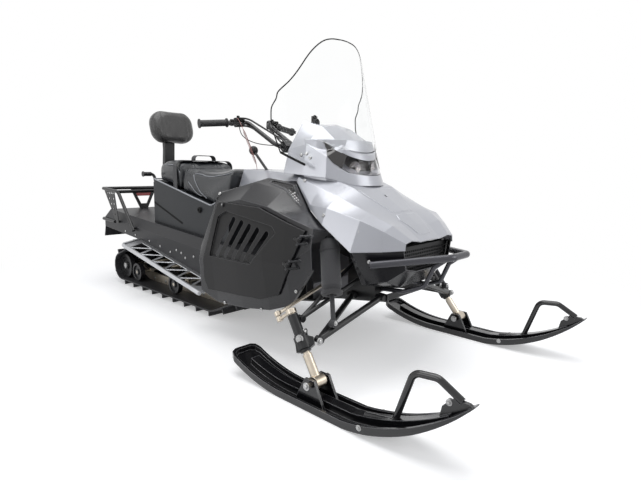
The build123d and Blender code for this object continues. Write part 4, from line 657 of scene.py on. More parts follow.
def edit(operator, **values):
    """One edit-mode operator on everything in the active mesh."""
    bpy.ops.object.mode_set(mode="EDIT")
    bpy.ops.mesh.select_all(action="SELECT")
    operator(**values)
    bpy.ops.object.mode_set(mode="OBJECT")


def thicken(piece, thickness, offset=-1.0):
    """Gives the active sheet a wall."""
    wall = piece.modifiers.new("wall", "SOLIDIFY")
    wall.thickness = thickness
    wall.offset = offset
    bpy.ops.object.modifier_apply(modifier=wall.name)


def select_faces(piece, wanted):
    """Selects the faces for which wanted(centre, normal) is true."""
    bpy.ops.object.mode_set(mode="OBJECT")
    for vertex in piece.data.vertices:
        vertex.select = False
    for edge in piece.data.edges:
        edge.select = False
    for face in piece.data.polygons:
        face.select = wanted(face.center, face.normal)
    bpy.ops.object.mode_set(mode="EDIT")
    bpy.ops.mesh.select_mode(type="FACE")


def join(pieces):
    """Several objects become the first one, which is active."""
    deselect()
    for piece in pieces:
        piece.select_set(True)
    bpy.context.view_layer.objects.active = pieces[0]
    if len(pieces) > 1:
        bpy.ops.object.join()
    return bpy.context.object


def discard(piece):
    """Takes away a pattern that has been used."""
    bpy.data.objects.remove(piece, do_unlink=True)


# %% Places and directions
SIDES = (1.0, -1.0)  # as it is written, and mirrored


def on_side(point, side):
    """The same place on a side of the machine."""
    return Vector((point[0], point[1] * side, point[2]))


def mirror_place(point):
    """The same place on the other side."""
    return on_side(point, -1.0)


def standing_at(place, direction):
    """The matrix that sets a pattern down at a place, with its Z axis along a direction."""
    turn = Vector(direction).to_track_quat("Z", "Y").to_matrix().to_4x4()
    return Matrix.Translation(Vector(place)) @ turn


def set_down(pattern, places):
    """Copies of a pattern's mesh at (point, direction) places, joined to one active object."""
    copies = []
    for point, direction in places:
        mesh = pattern.data.copy()
        mesh.transform(standing_at(point, direction))
        copies.append(linked(pattern.name, mesh))
    return join(copies)


def nearest_on(piece, point):
    """Nearest point on an object to a place, and the way its surface faces there."""
    return piece.closest_point_on_mesh(Vector(point))[1:3]


def surface_at(node, point):
    """Nearest point on a CAD node to a place, and the way the surface faces there."""
    return nearest_on(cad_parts[node], point)


# %% Primitives to start from
def tube_mesh(points, radius, sides=3):
    """An active mesh tube along a smooth line through control points."""
    curve = bpy.data.curves.new("line", "CURVE")
    curve.dimensions = "3D"
    curve.bevel_depth = radius
    curve.bevel_resolution = sides
    curve.resolution_u = 6
    curve.use_fill_caps = True
    spline = curve.splines.new("NURBS")
    spline.points.add(len(points) - 1)
    for control, point in zip(spline.points, points):
        control.co = (*point, 1.0)
    spline.order_u = 3
    spline.use_endpoint_u = True
    activate(linked("line", curve))
    bpy.ops.object.convert(target="MESH")
    return bpy.context.object


def standing_disc(corners, radius, depth, foot=0.0):
    """A disc or prism that stands at a height over the XY plane."""
    deselect()
    bpy.ops.mesh.primitive_cylinder_add(vertices=corners, radius=radius, depth=depth,
                                        location=(0.0, 0.0, foot + depth / 2))
    bpy.ops.object.transform_apply(location=True)
    return bpy.context.object


def step_face(disc, rim, rise, inner, sink):
    """Steps a disc's upper face: a slope round a raised part, with a hollow in that."""
    select_faces(disc, lambda centre, normal: normal.z > 0.9)
    bpy.ops.mesh.inset(thickness=rim)
    bpy.ops.transform.translate(value=(0.0, 0.0, rise))
    bpy.ops.mesh.inset(thickness=inner)
    bpy.ops.mesh.extrude_region_move(TRANSFORM_OT_translate={"value": (0.0, 0.0, -sink)})
    bpy.ops.object.mode_set(mode="OBJECT")


def solid_box(size, place=(0.0, 0.0, 0.0)):
    """A box of a size at a place."""
    deselect()
    bpy.ops.mesh.primitive_cube_add(size=1.0, location=place)
    box = bpy.context.object
    box.scale = size
    bpy.ops.object.transform_apply(location=True, scale=True)
    return box


def bent_grid(columns, rows, where):
    """A grid whose points go where where(u, v) says, with u and v from -0.5 to 0.5."""
    deselect()
    bpy.ops.mesh.primitive_grid_add(x_subdivisions=columns, y_subdivisions=rows, size=1.0)
    sheet = bpy.context.object
    for vertex in sheet.data.vertices:
        vertex.co = where(vertex.co.x, vertex.co.y)
    return sheet


# %% [markdown]
# Two kinds of fastener hold this machine together: hex bolts on a washer in the chassis, and shallow
# button heads in the plastic and the tunnel's sheet.

# %% Fastener patterns
def hex_bolt(radius):
    """Hex head with a bevelled rim, on its washer."""
    washer = standing_disc(24, radius * 1.7, radius * 0.3)
    edit(bpy.ops.mesh.bevel, offset=radius * 0.06, segments=1)
    head = standing_disc(6, radius, radius * 0.8, foot=radius * 0.3)
    edit(bpy.ops.mesh.bevel, offset=radius * 0.12, segments=2)
    bolt = join([head, washer])
    bolt.name = "hex_bolt"
    return bolt


def button_screw(radius):
    """Low domed head with a socket in it."""
    head = standing_disc(24, radius, radius * 0.5)
    step_face(head, radius * 0.25, radius * 0.18, radius * 0.35, radius * 0.3)
    head.name = "button_screw"
    return head


def fasten(pattern, name, places, material=grey_steel, body="chassis"):
    """A set of equal fasteners on one body, as one piece."""
    print(name, len(places))
    set_down(pattern, places)
    finish_piece(name, material, body)


# %% [markdown]
# ## Seat cushions and back cushion
# The seat is a foam block under vinyl, sewn from a top panel and two side panels, and the back cushion
# is a rounded pad sewn from three strips. A cushion swells between its seams, and no bevel gives that.
# Each one starts as a copy of its plain CAD block, which is remeshed so that it can bend anywhere, and
# the cloth solver then blows it up a little. The swelling is capped, so that the cushion stays in its
# place, and the small lumps that the solver leaves are smoothed out. The seams are pressed in last,
# because smoothing would wipe them out.

# %% Padded form
VOXEL = 0.007
SHRINK = 0.008  # the copy starts smaller by this, to have room to swell
PRESSURE = 5.0
STIFFNESS = 20.0
SWELL_STEPS = 20
SWELL_CAP = 0.011
STAIR_PASSES = 8  # smoothing that takes the voxels' stairs out
LUMP_PASSES = 24  # and the solver's lumps
CUSHION_RISE = 0.004  # how far a cushion may pass the far faces of its block


def padded_copy(name, node):
    """A remeshed copy of a CAD block, a little smaller than the block."""
    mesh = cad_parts[node].data.copy()
    mesh.name = name
    piece = linked(name, mesh)
    activate(piece)
    edit(bpy.ops.mesh.remove_doubles, threshold=0.0001)
    edit(bpy.ops.mesh.normals_make_consistent, inside=False)
    remesh = piece.modifiers.new("remesh", "REMESH")
    remesh.mode = "VOXEL"
    remesh.voxel_size = VOXEL
    bpy.ops.object.modifier_apply(modifier=remesh.name)
    edit(bpy.ops.transform.shrink_fatten, value=-SHRINK)
    edit(bpy.ops.mesh.vertices_smooth, factor=0.5, repeat=STAIR_PASSES)
    return piece


def swell(piece):
    """Blows a closed mesh up under pressure, and caps how far any point may move."""
    start = [vertex.co.copy() for vertex in piece.data.vertices]
    cloth = piece.modifiers.new("cloth", "CLOTH")
    cloth.settings.use_pressure = True
    cloth.settings.uniform_pressure_force = PRESSURE
    cloth.settings.tension_stiffness = STIFFNESS
    cloth.settings.compression_stiffness = STIFFNESS
    cloth.settings.effector_weights.gravity = 0.0
    cloth.point_cache.frame_start = 1
    cloth.point_cache.frame_end = SWELL_STEPS
    for step in range(1, SWELL_STEPS + 1):
        bpy.context.scene.frame_set(step)
    activate(piece)
    bpy.ops.object.modifier_apply(modifier=cloth.name)
    bpy.context.scene.frame_set(1)
    for vertex, place in zip(piece.data.vertices, start):
        shift = vertex.co - place
        if shift.length > SWELL_CAP:
            vertex.co = place + shift * (SWELL_CAP / shift.length)


def press_flat(piece, node):
    """Keeps a cushion inside its CAD block's box, so that it rests flat on its base."""
    low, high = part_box(node)
    for vertex in piece.data.vertices:
        for axis in range(3):
            vertex.co[axis] = min(max(vertex.co[axis], low[axis]), high[axis] + CUSHION_RISE)


# %% [markdown]
# A seam is a line of points. It is divided finely and moved onto the cushion, and the cushion's own
# points near it are pushed in, most at the line and less with distance.

# %% Seams pressed in
SEAM_STEP = 0.006
SEAM_DEPTH = 0.004
SEAM_WIDTH = 0.011


def on_cushion(piece, points):
    """Points moved onto a cushion's surface, each with the way it faces."""
    return [nearest_on(piece, point) for point in points]


def divided(points, step):
    """A line of points with more points between them, about a step apart."""
    line = []
    for first, second in zip(points, points[1:]):
        first, second = Vector(first), Vector(second)
        count = max(1, round((second - first).length / step))
        line += [first.lerp(second, k / count) for k in range(count)]
    return line + [Vector(points[-1])]


def sew(piece, points):
    """Presses a seam into a cushion along a line."""
    spots = on_cushion(piece, divided(points, SEAM_STEP))
    tree = KDTree(len(spots))
    for index, (spot, normal) in enumerate(spots):
        tree.insert(spot, index)
    tree.balance()
    for vertex in piece.data.vertices:
        index, away = tree.find(vertex.co)[1:]
        if away < SEAM_WIDTH:
            share = 0.5 + 0.5 * math.cos(math.pi * away / SEAM_WIDTH)
            vertex.co -= spots[index][1] * (SEAM_DEPTH * share)


def cushion(name, node, material, seams):
    """A whole cushion: padded form, pressed seams and finish."""
    piece = padded_copy(name, node)
    swell(piece)
    edit(bpy.ops.mesh.vertices_smooth, factor=0.5, repeat=LUMP_PASSES)
    press_flat(piece, node)
    for line in seams:
        sew(piece, line)
    smooth = piece.modifiers.new("smooth", "SUBSURF")
    smooth.levels = 1
    smooth.render_levels = 1
    activate(piece)
    bpy.ops.object.modifier_apply(modifier=smooth.name)
    finish_piece(name, material, "chassis", smooth=80.0)
    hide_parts(node)
    print(name, len(piece.data.polygons), "faces")
    return piece


# %% [markdown]
# The seams follow the patterns the vinyl is cut to. On the passenger's end the side panel ends in a
# long curve along the top, and on the driver's end two slanting seams divide the side in front of the
# strap. Where the hand loop is sewn down, the vinyl is pulled into short folds that spread from the
# stitching. They are pressed in as a wave round each foot of the loop that fades with distance.

# %% Seam lines and folds
SIDE = 0.197  # half width of the cushions
PASSENGER_SIDE_SEAM = [(-0.806, -0.150, 0.846), (-0.760, -0.185, 0.850), (-0.660, -0.192, 0.842),
                       (-0.590, -SIDE, 0.815), (-0.566, -SIDE, 0.790)]
DRIVER_REAR_SEAM = [(-0.556, -SIDE, 0.785), (-0.530, -SIDE, 0.760), (-0.500, -SIDE, 0.720),
                    (-0.480, -SIDE, 0.665)]
DRIVER_SLANT_SEAMS = [
    [(-0.440, -0.180, 0.785), (-0.433, -SIDE, 0.764), (-0.403, -SIDE, 0.719), (-0.368, -SIDE, 0.675),
     (-0.317, -SIDE, 0.640)],
    [(-0.480, -SIDE, 0.735), (-0.423, -SIDE, 0.678), (-0.370, -SIDE, 0.645)],
]
DRIVER_TOP_SEAM = [(-0.440, -0.180, 0.800), (-0.360, -0.183, 0.790), (-0.230, -0.183, 0.786),
                   (-0.130, -0.183, 0.795), (-0.074, -0.183, 0.810)]
DRIVER_CROSS_SEAM = [(-0.440, -0.180, 0.800), (-0.452, -0.090, 0.806), (-0.455, 0.0, 0.808),
                     (-0.452, 0.090, 0.806), (-0.440, 0.180, 0.800)]
FOLD_DEPTH = 0.0035
FOLD_CORE = 0.02  # the folds start this far from the stitching


def both_lines(lines):
    """Lines of points and the same on the left side."""
    return lines + [[mirror_place(point) for point in line] for line in lines]


def fold_round(piece, centre, reach, count, turn):
    """Presses folds into a cushion that spread from a point, as two ripples of uneven length."""
    upward = [max(0.0, vertex.normal.z) for vertex in piece.data.vertices]
    for vertex, lift in zip(piece.data.vertices, upward):
        away = vertex.co - centre
        radius = away.length
        if radius > reach:
            continue
        angle = math.atan2(away.y, away.x)
        fade = (1.0 - radius / reach) ** 1.5 * min(1.0, radius / FOLD_CORE)
        ripple = math.sin(count * angle + turn) + 0.5 * math.sin(2.3 * count * angle + 1.7)
        vertex.co.z -= FOLD_DEPTH * fade * (0.6 + ripple) * lift


# %% Cushions
PASSENGER_STITCH = (-0.600, 0.085, 0.856)  # where the hand loop is sewn down, on the left side
DRIVER_STITCH = (-0.550, 0.085, 0.840)
BACK_SEAM_Y = 0.085
BACK_FRONT_X = -0.920  # of the back cushion at the middle height
BACK_MIDDLE_Z = 1.075
BACK_LEAN = math.tan(math.radians(14.0))
BACK_DEPTH = 0.1
BACK_TOP_Z = 1.20

passenger = cushion("passenger_seat", "passenger_cushion", seat_vinyl, both_lines([PASSENGER_SIDE_SEAM]))
driver = cushion("driver_seat", "driver_cushion", seat_vinyl,
                 both_lines([DRIVER_REAR_SEAM, *DRIVER_SLANT_SEAMS, DRIVER_TOP_SEAM])
                 + [DRIVER_CROSS_SEAM])
for side in (-1.0, 1.0):
    fold_round(passenger, on_side(PASSENGER_STITCH, side), reach=0.13, count=7, turn=side)
    fold_round(driver, on_side(DRIVER_STITCH, side), reach=0.16, count=6, turn=-side)

back_height = [0.962 + 0.022 * k for k in range(11)]
back_seams = []
for side in (-1.0, 1.0):
    seam_y = side * BACK_SEAM_Y
    for face_x in (BACK_FRONT_X, BACK_FRONT_X - BACK_DEPTH):
        back_seams.append([(face_x - (z - BACK_MIDDLE_Z) * BACK_LEAN, seam_y, z) for z in back_height])
    back_seams.append([(BACK_FRONT_X - 0.06 - 0.015 * k, seam_y, BACK_TOP_Z) for k in range(4)])
cushion("back_cushion", "backrest_pad", back_vinyl, back_seams)

# %% [markdown]
# Welts and piping are cords of vinyl sewn into a seam. They are tubes laid along the same lines as the
# seams, and a welt is sunk by a part of its thickness. The long piping runs between the cushions and
# the moulded base, along both sides and round the rear. Both are black vinyl, painted light grey as a
# painted highlight. A welt's line is evened out first, because the nearest points on a bent surface make
# it zigzag.

# %% Piping
PIPING_RADIUS = 0.0042
PIPING_Y = 0.2055
PIPING_LINE = [(-0.846, 0.7440), (-0.640, 0.7012), (-0.430, 0.6560), (-0.250, 0.6180), (-0.226, 0.6150),
               (-0.200, 0.6250), (-0.078, 0.6720)]  # x, z
REAR_TURN = [(-0.858, -0.198, 0.744), (-0.858, 0.198, 0.744)]
WELT_RADIUS = 0.0019
WELT_LIFT = 0.0010  # of its middle line over the surface
WELT_STEP = 0.012
EVEN_PASSES = 6
left_side = [(x, PIPING_Y, z) for x, z in PIPING_LINE]
right_side = [mirror_place(point) for point in left_side]
tube_mesh(right_side[::-1] + REAR_TURN + left_side, PIPING_RADIUS)
finish_piece("seat_piping", piping_painted_highlight, "chassis")

welts = []
for seam, piece in ((PASSENGER_SIDE_SEAM, passenger), (DRIVER_SLANT_SEAMS[0], driver),
                    (DRIVER_SLANT_SEAMS[1], driver), (DRIVER_TOP_SEAM, driver)):
    for path in both_lines([seam]):
        spots = on_cushion(piece, divided(path, WELT_STEP))
        line = [spot + normal * WELT_LIFT for spot, normal in spots]
        for _ in range(EVEN_PASSES):
            inner = [(before + 2 * place + after) / 4
                     for before, place, after in zip(line, line[1:], line[2:])]
            line = [line[0], *inner, line[-1]]
        welts.append(tube_mesh(line, WELT_RADIUS))
join(welts)
finish_piece("seat_welts", piping_painted_highlight, "chassis")


# %% [markdown]
# ## Screen trim
# The edge of a windshield is covered by a thin rubber moulding, and its foot stands in a thicker one.
# The sheet is half a cylinder that leans back, so a point on it follows from its height and its
# sideways place, or from its height and how far back the sheet is cut. Three short tables give the
# outline of the top, the rear edges and the foot, and tubes are laid through the points.

# %% Screen trim
SCREEN_RADIUS = 0.294
SCREEN_CENTRE_X = 0.376  # of the cylinder at the foot
SCREEN_FOOT_Z = 0.820
SCREEN_RAKE = -0.259
TOP_OUTLINE = [(0.0, 1.382), (-0.040, 1.380), (-0.076, 1.378), (-0.113, 1.367), (-0.148, 1.341),
               (-0.184, 1.300), (-0.222, 1.234), (-0.249, 1.188), (-0.268, 1.160)]  # y, z
REAR_OUTLINE = [(0.388, 1.140), (0.388, 1.116), (0.364, 1.084), (0.362, 1.060), (0.366, 1.000),
                (0.402, 0.925), (0.419, 0.890)]  # x, z
FOOT_OUTLINE = [(0.421, 0.888), (0.470, 0.865), (0.530, 0.836)]  # x, z
TRIM_RADIUS = 0.0028
FOOT_TRIM_RADIUS = 0.0052


def screen_centre(z):
    """Where the leaning cylinder's middle line is at a height."""
    return SCREEN_CENTRE_X + SCREEN_RAKE * (z - SCREEN_FOOT_Z)


def screen_by_side(y, z):
    """Point on the sheet at a sideways place and height."""
    return Vector((screen_centre(z) + math.sqrt(SCREEN_RADIUS**2 - y**2), y, z))


def screen_by_cut(x, z):
    """Point on the right half of the sheet where it is cut at x."""
    return Vector((x, -math.sqrt(SCREEN_RADIUS**2 - (x - screen_centre(z)) ** 2), z))


right_edge = [screen_by_side(*place) for place in TOP_OUTLINE] + [screen_by_cut(*cut) for cut in REAR_OUTLINE]
left_edge = [mirror_place(point) for point in right_edge[1:]]
tube_mesh(left_edge[::-1] + right_edge, TRIM_RADIUS, sides=2)
finish_piece("screen_trim", black_trim_and_painted_shade, "chassis")
foot_line = [screen_by_cut(*cut) for cut in FOOT_OUTLINE]
join([tube_mesh(line, FOOT_TRIM_RADIUS) for line in both_lines([foot_line])])
finish_piece("screen_foot_trim", black_trim_and_painted_shade, "chassis")
print("screen trim:", len(right_edge) + len(left_edge), "points")

# %% [markdown]
# ## Lamps behind the lens
# Four reflector bowls sit in a dark bucket behind the long lens, two near the middle and two smaller
# ones further round. A bowl is a parabola turned round its axis. It starts as a small disc whose rim is
# extruded upward and widened step by step, and the wall then gets a thickness. Each bowl holds a bulb
# on a stepped cap.

# %% Reflector bowls
BOWL_STEPS = 8
BOWL_EYE = 0.14  # radius of the flat bottom, as a share of the rim's
BOWL_WALL = 0.0012
BOWL_DEPTH = 0.75  # as a share of the rim's radius
BULB_SIZE = 0.24  # radius, as a share of the bowl's
BULB_SINK = 0.35  # how deep it sits behind the rim, as such a share
LAMP_CENTRE_X = 0.488  # of the housing's round front
# angle from straight ahead, height, distance of the rim from the centre, bowl radius
BOWLS = [(21.0, 0.826, 0.176, 0.028), (50.0, 0.858, 0.164, 0.022)]


def bowl_pattern(radius, depth):
    """A parabolic bowl that opens along +Z, with its rim at z = 0."""
    deselect()
    bpy.ops.mesh.primitive_circle_add(vertices=28, radius=radius * BOWL_EYE, fill_type="NGON",
                                      location=(0.0, 0.0, -depth))
    piece = bpy.context.object
    bpy.ops.object.transform_apply(location=True)
    bpy.ops.object.mode_set(mode="EDIT")
    reach = BOWL_EYE
    for k in range(1, BOWL_STEPS + 1):
        wider = BOWL_EYE + (1.0 - BOWL_EYE) * k / BOWL_STEPS
        rise = depth * (wider**2 - reach**2)
        bpy.ops.mesh.region_to_loop()
        bpy.ops.mesh.extrude_edges_move(TRANSFORM_OT_translate={"value": (0.0, 0.0, rise)})
        grown = wider / reach
        bpy.ops.transform.resize(value=(grown, grown, 1.0), center_override=(0, 0, 0))
        reach = wider
        bpy.ops.mesh.select_all(action="SELECT")
    bpy.ops.mesh.normals_make_consistent(inside=False)
    bpy.ops.object.mode_set(mode="OBJECT")
    thicken(piece, BOWL_WALL)
    piece.name = "bowl"
    return piece


def bulb_pattern(radius):
    """A small bulb on a stepped cap, standing on the bowl's bottom."""
    deselect()
    bpy.ops.mesh.primitive_uv_sphere_add(segments=16, ring_count=10, radius=radius,
                                         location=(0.0, 0.0, radius * 0.4))
    glass = bpy.context.object
    edit(bpy.ops.transform.resize, value=(1.0, 1.0, 1.35), center_override=(0, 0, 0))
    cap = standing_disc(16, radius * 0.75, radius * 1.6, foot=-radius * 2.0)
    edit(bpy.ops.mesh.bevel, offset=radius * 0.15, segments=2)
    bulb = join([glass, cap])
    bpy.ops.object.transform_apply(location=True)
    return bulb


bowls = []
bulbs = []
for angle, height, reach, radius in BOWLS:
    for side in (-1.0, 1.0):
        turn = side * math.radians(angle)
        outward = Vector((math.cos(turn), math.sin(turn), 0.0))
        rim = Vector((LAMP_CENTRE_X, 0.0, height)) + outward * reach
        for pieces, pattern, place in (
            (bowls, bowl_pattern(radius, radius * BOWL_DEPTH), rim),
            (bulbs, bulb_pattern(radius * BULB_SIZE), rim - outward * radius * BULB_SINK),
        ):
            pieces.append(set_down(pattern, [(place, outward)]))
            discard(pattern)
join(bowls)
finish_piece("lamp_reflectors", chrome, "chassis")
join(bulbs)
finish_piece("lamp_bulbs", lamp_clear, "chassis")
print("bowls:", len(bowls))

# %% [markdown]
# The bucket behind the lens is dark, so that only the bowls shine. It is a strip bent round the lamp's
# middle line and leaning back with the lens. The lens also runs up into the pod as a long dark point
# on each side: a grid is laid over that part of the pod, each of its points is dropped on the surface
# from outside, and it gets a thin wall.

# %% Bucket and lens points
LAMP_FOOT_X = 0.518
LAMP_FOOT_Z = 0.750
LAMP_LEAN = 77.0 / 195.0
BUCKET_TURN = math.radians(128.0)
BUCKET_HEIGHT = 0.146
BUCKET_MIDDLE_Z = 0.868
BUCKET_RADIUS = 0.1585
WING_TOP = [(0.5555, 0.9385), (0.575, 0.9245), (0.592, 0.911), (0.606, 0.901), (0.622, 0.890),
            (0.640, 0.879)]  # x, z
WING_FOOT = [(0.5560, 0.9370), (0.571, 0.9080), (0.587, 0.880), (0.600, 0.862), (0.614, 0.842),
             (0.640, 0.821)]
WING_LIFT = 0.0012
WING_WALL = 0.0016


def lamp_middle(z):
    """The lamp's round front leans back with height; this is its middle line."""
    return LAMP_FOOT_X - (z - LAMP_FOOT_Z) * LAMP_LEAN


def bucket_wall(u, v):
    """A place on the strip behind the lens."""
    turn = BUCKET_TURN * u
    height = BUCKET_MIDDLE_Z + BUCKET_HEIGHT * v
    return lamp_middle(height) + BUCKET_RADIUS * math.cos(turn), BUCKET_RADIUS * math.sin(turn), height


bent_grid(40, 6, bucket_wall)
edit(bpy.ops.mesh.normals_make_consistent, inside=False)
finish_piece("lamp_bucket", bucket_black, "chassis", smooth=60.0)


def along(table, share):
    """A place along a table of points, by its share of the way."""
    where = share * (len(table) - 1)
    index = min(int(where), len(table) - 2)
    first, second = Vector(table[index]), Vector(table[index + 1])
    return first.lerp(second, where - index)


def outermost(x, z):
    """How far out the pod or the lens reaches on the right side at a place."""
    reach = []
    for node in ("pod", "headlamp"):
        hit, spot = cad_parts[node].ray_cast(Vector((x, -0.4, z)), Vector((0.0, 1.0, 0.0)))[:2]
        if hit:
            reach.append(spot.y)
    return min(reach)


def wing_place(u, v):
    """A place on the lens point of the right side."""
    place = along(WING_FOOT, u + 0.5).lerp(along(WING_TOP, u + 0.5), v + 0.5)
    return place.x + WING_LIFT, outermost(place.x, place.y) - WING_LIFT, place.y


wings = []
for side in SIDES:
    wing = bent_grid(20, 10, lambda u, v: on_side(wing_place(u, v), side))
    edit(bpy.ops.mesh.vertices_smooth, factor=0.5, repeat=1)
    edit(bpy.ops.mesh.normals_make_consistent, inside=False)
    thicken(wing, WING_WALL, offset=0.0)
    wings.append(wing)
join(wings)
finish_piece("lamp_lens_points", lamp_dark, "chassis", smooth=50.0)

# %% [markdown]
# ## Fasteners in the body
# The hood, the pod and the cowls carry button heads on their sides. Their places are given roughly,
# and a helper finds the surface.

# %% Body fasteners
SCREW_SINK = 0.0005
# piece: CAD node it sits on, rough places on the right side
BODY_SCREWS = {
    "hood_screws": ("hood", [(0.860, -0.300, 0.590), (0.520, -0.238, 0.772), (0.700, -0.315, 0.640)]),
    "pod_screws": ("pod", [(0.500, -0.215, 0.885), (0.520, -0.215, 0.868), (0.470, -0.220, 0.880)]),
    "cowl_screws": ("side_cowls", [(0.164, -0.404, 0.192), (0.425, -0.404, 0.214), (0.040, -0.410, 0.330),
                                   (0.640, -0.420, 0.330), (0.120, -0.392, 0.700)]),
}


def on_node(node, points):
    """Places on a CAD node near the points, and the same on the left side."""
    places = []
    for point in points:
        for seat in (Vector(point), mirror_place(point)):
            spot, normal = surface_at(node, seat)
            places.append((spot - normal * SCREW_SINK, normal))
    return places


body_screw = button_screw(radius=0.0075)
for name, (node, points) in BODY_SCREWS.items():
    fasten(body_screw, name, on_node(node, points))
discard(body_screw)

# %% [markdown]
# Behind the meshes of the nose and the cowls lies the shaded intake. A shallow black tray stands a little
# way behind each mesh as painted shade, so that no daylight shows through it.

# %% Intake trays
NOSE_TRAY_SIZE = (0.004, 0.330, 0.120)
NOSE_TRAY_PLACE = (0.930, 0.0, 0.462)
NOSE_TRAY_RIM = 0.004
NOSE_TRAY_SINK = 0.002
COWL_TRAY_WALL = 0.0015
COWL_TRAY_DROP = 0.009  # below the mesh


def cowl_shade_tray(u, v):
    """A place below the right cowl's mesh."""
    rough = (0.456 + 0.180 * u, -0.283 + 0.040 * v - 0.010 * u, 0.80)
    spot = surface_at("cowl_grilles", rough)[0]
    return spot.x, spot.y, spot.z - COWL_TRAY_DROP


# Black trays: painted shade of the intakes behind the meshes.
nose_shade_tray = solid_box(NOSE_TRAY_SIZE, NOSE_TRAY_PLACE)
select_faces(nose_shade_tray, lambda centre, normal: normal.x > 0.9)
bpy.ops.mesh.inset(thickness=NOSE_TRAY_RIM)
bpy.ops.mesh.extrude_region_move(TRANSFORM_OT_translate={"value": (-NOSE_TRAY_SINK, 0.0, 0.0)})
bpy.ops.object.mode_set(mode="OBJECT")
trays = [nose_shade_tray]
for side in SIDES:
    sheet = bent_grid(10, 8, lambda u, v: on_side(cowl_shade_tray(u, v), side))
    thicken(sheet, COWL_TRAY_WALL)
    trays.append(sheet)
join(trays)
edit(bpy.ops.mesh.normals_make_consistent, inside=False)
finish_piece("intake_painted_shade", black_trim_and_painted_shade, "chassis")

# %% [markdown]
# ## Panel latches
# Such a side panel is held shut by a rubber latch at its top rear corner: a strap that ends in a ring,
# which is pulled over the head of a peg. The ring is a torus turned to face sideways. The strap is a
# short bent tube whose lower end is buried in the ring, and its upper end stands free.

# %% Panel latches
LATCH_RING = (0.186, -0.4275, 0.655)
LATCH_PEG = (0.186, -0.4255, 0.655)
LATCH_STRAP = [(0.166, -0.4320, 0.690), (0.158, -0.4340, 0.682), (0.160, -0.4330, 0.672),
               (0.177, -0.4305, 0.661)]
LATCH_STRAP_RADIUS = 0.0034
latch_peg = button_screw(radius=0.0055)
for side, body in zip(SIDES, ("panel_right", "panel_left")):
    deselect()
    bpy.ops.mesh.primitive_torus_add(major_radius=0.0080, minor_radius=0.0038, major_segments=28,
                                     minor_segments=12, rotation=(math.radians(90.0), 0.0, 0.0),
                                     location=on_side(LATCH_RING, side))
    ring = bpy.context.object
    bpy.ops.object.transform_apply(location=True, rotation=True)
    strap = tube_mesh([on_side(point, side) for point in LATCH_STRAP], LATCH_STRAP_RADIUS)
    join([ring, strap])
    finish_piece(f"latch_{body}", grip_rubber, body)
    set_down(latch_peg, [(on_side(LATCH_PEG, side), (0.0, -side, 0.0))])
    finish_piece(f"latch_peg_{body}", grey_steel, body)
discard(latch_peg)

# %% [markdown]
# ## Seat base details
# The moulded base under the seat has a long groove that slants down its side, and a round hole near its
# front. Both are painted shade: thin black inserts on the flat side wall stand for the shade in the groove
# and the hole. They are made from a box and a disc that are shaped in edit mode.

# %% Seat base inserts
BASE_SIDE = 0.2056
GROOVE = [(-0.850, -BASE_SIDE, 0.598), (-0.523, -BASE_SIDE, 0.491)]
GROOVE_WIDTH = 0.012
GROOVE_DEPTH = 0.0022


def groove_shade_strip(start, end):
    """A flat bar with bevelled edges between two points on the base's side."""
    start, end = Vector(start), Vector(end)
    run = end - start
    strip = solid_box((run.length, GROOVE_DEPTH, GROOVE_WIDTH))
    edit(bpy.ops.mesh.bevel, offset=GROOVE_DEPTH * 0.3, segments=1)
    turn = Matrix.Rotation(-math.atan2(run.z, run.x), 4, "Y")
    strip.data.transform(Matrix.Translation((start + end) / 2) @ turn)
    return strip


# Black strips as painted shade of the grooves, and a black disc as painted shade of the hole.
join([groove_shade_strip(*ends) for ends in both_lines([GROOVE])])
finish_piece("seat_base_groove_shade", black_trim_and_painted_shade, "chassis")
hole_shade_disc = button_screw(radius=0.016)
fasten(hole_shade_disc, "seat_base_hole_shade", on_node("seat_base", [(-0.336, -0.206, 0.583)]), black_trim_and_painted_shade)
discard(hole_shade_disc)


# %% [markdown]
# ## Dash and handlebar
# Two small fittings stand on the pod under the screen, each a stub with a knob. Each half of the bar
# has two clamp rings, a small housing and a button, and two hoses run along it. A thin cable hangs from
# the right half to the bar's middle. A curly lanyard for the engine's cut-out switch goes from the
# right half to the console. The lanyard and the cable are free cords, and the length of each is printed.

# %% Dash fittings
def rounded_block(size, place, bevel):
    """A small moulded block with round edges."""
    block = solid_box(size, place)
    edit(bpy.ops.mesh.bevel, offset=bevel, segments=3)
    return block


def knob(radius, depth, place, direction):
    """A short disc with a stepped face that looks along a direction."""
    disc = standing_disc(28, radius, depth)
    step_face(disc, radius * 0.22, depth * 0.18, radius * 0.3, depth * 0.25)
    disc.data.transform(standing_at(place, direction))
    return disc


FITTINGS = [(0.339, -0.040, 0.036), (0.415, -0.050, 0.016)]  # rough x and y, height of the stub
STUB_SINK = 0.003
fittings = []
for x, y, height in FITTINGS:
    spot = surface_at("pod", (x, y, 1.06))[0]
    stub = spot + Vector((0.0, 0.0, height / 2 - STUB_SINK))
    fittings.append(rounded_block((0.020, 0.024, height), stub, 0.003))
    fittings.append(knob(0.009, 0.010, spot + Vector((0.008, -0.004, height * 0.75)), (0.6, -0.8, 0.0)))
join(fittings)
finish_piece("dash_fittings", black_paint, "chassis")

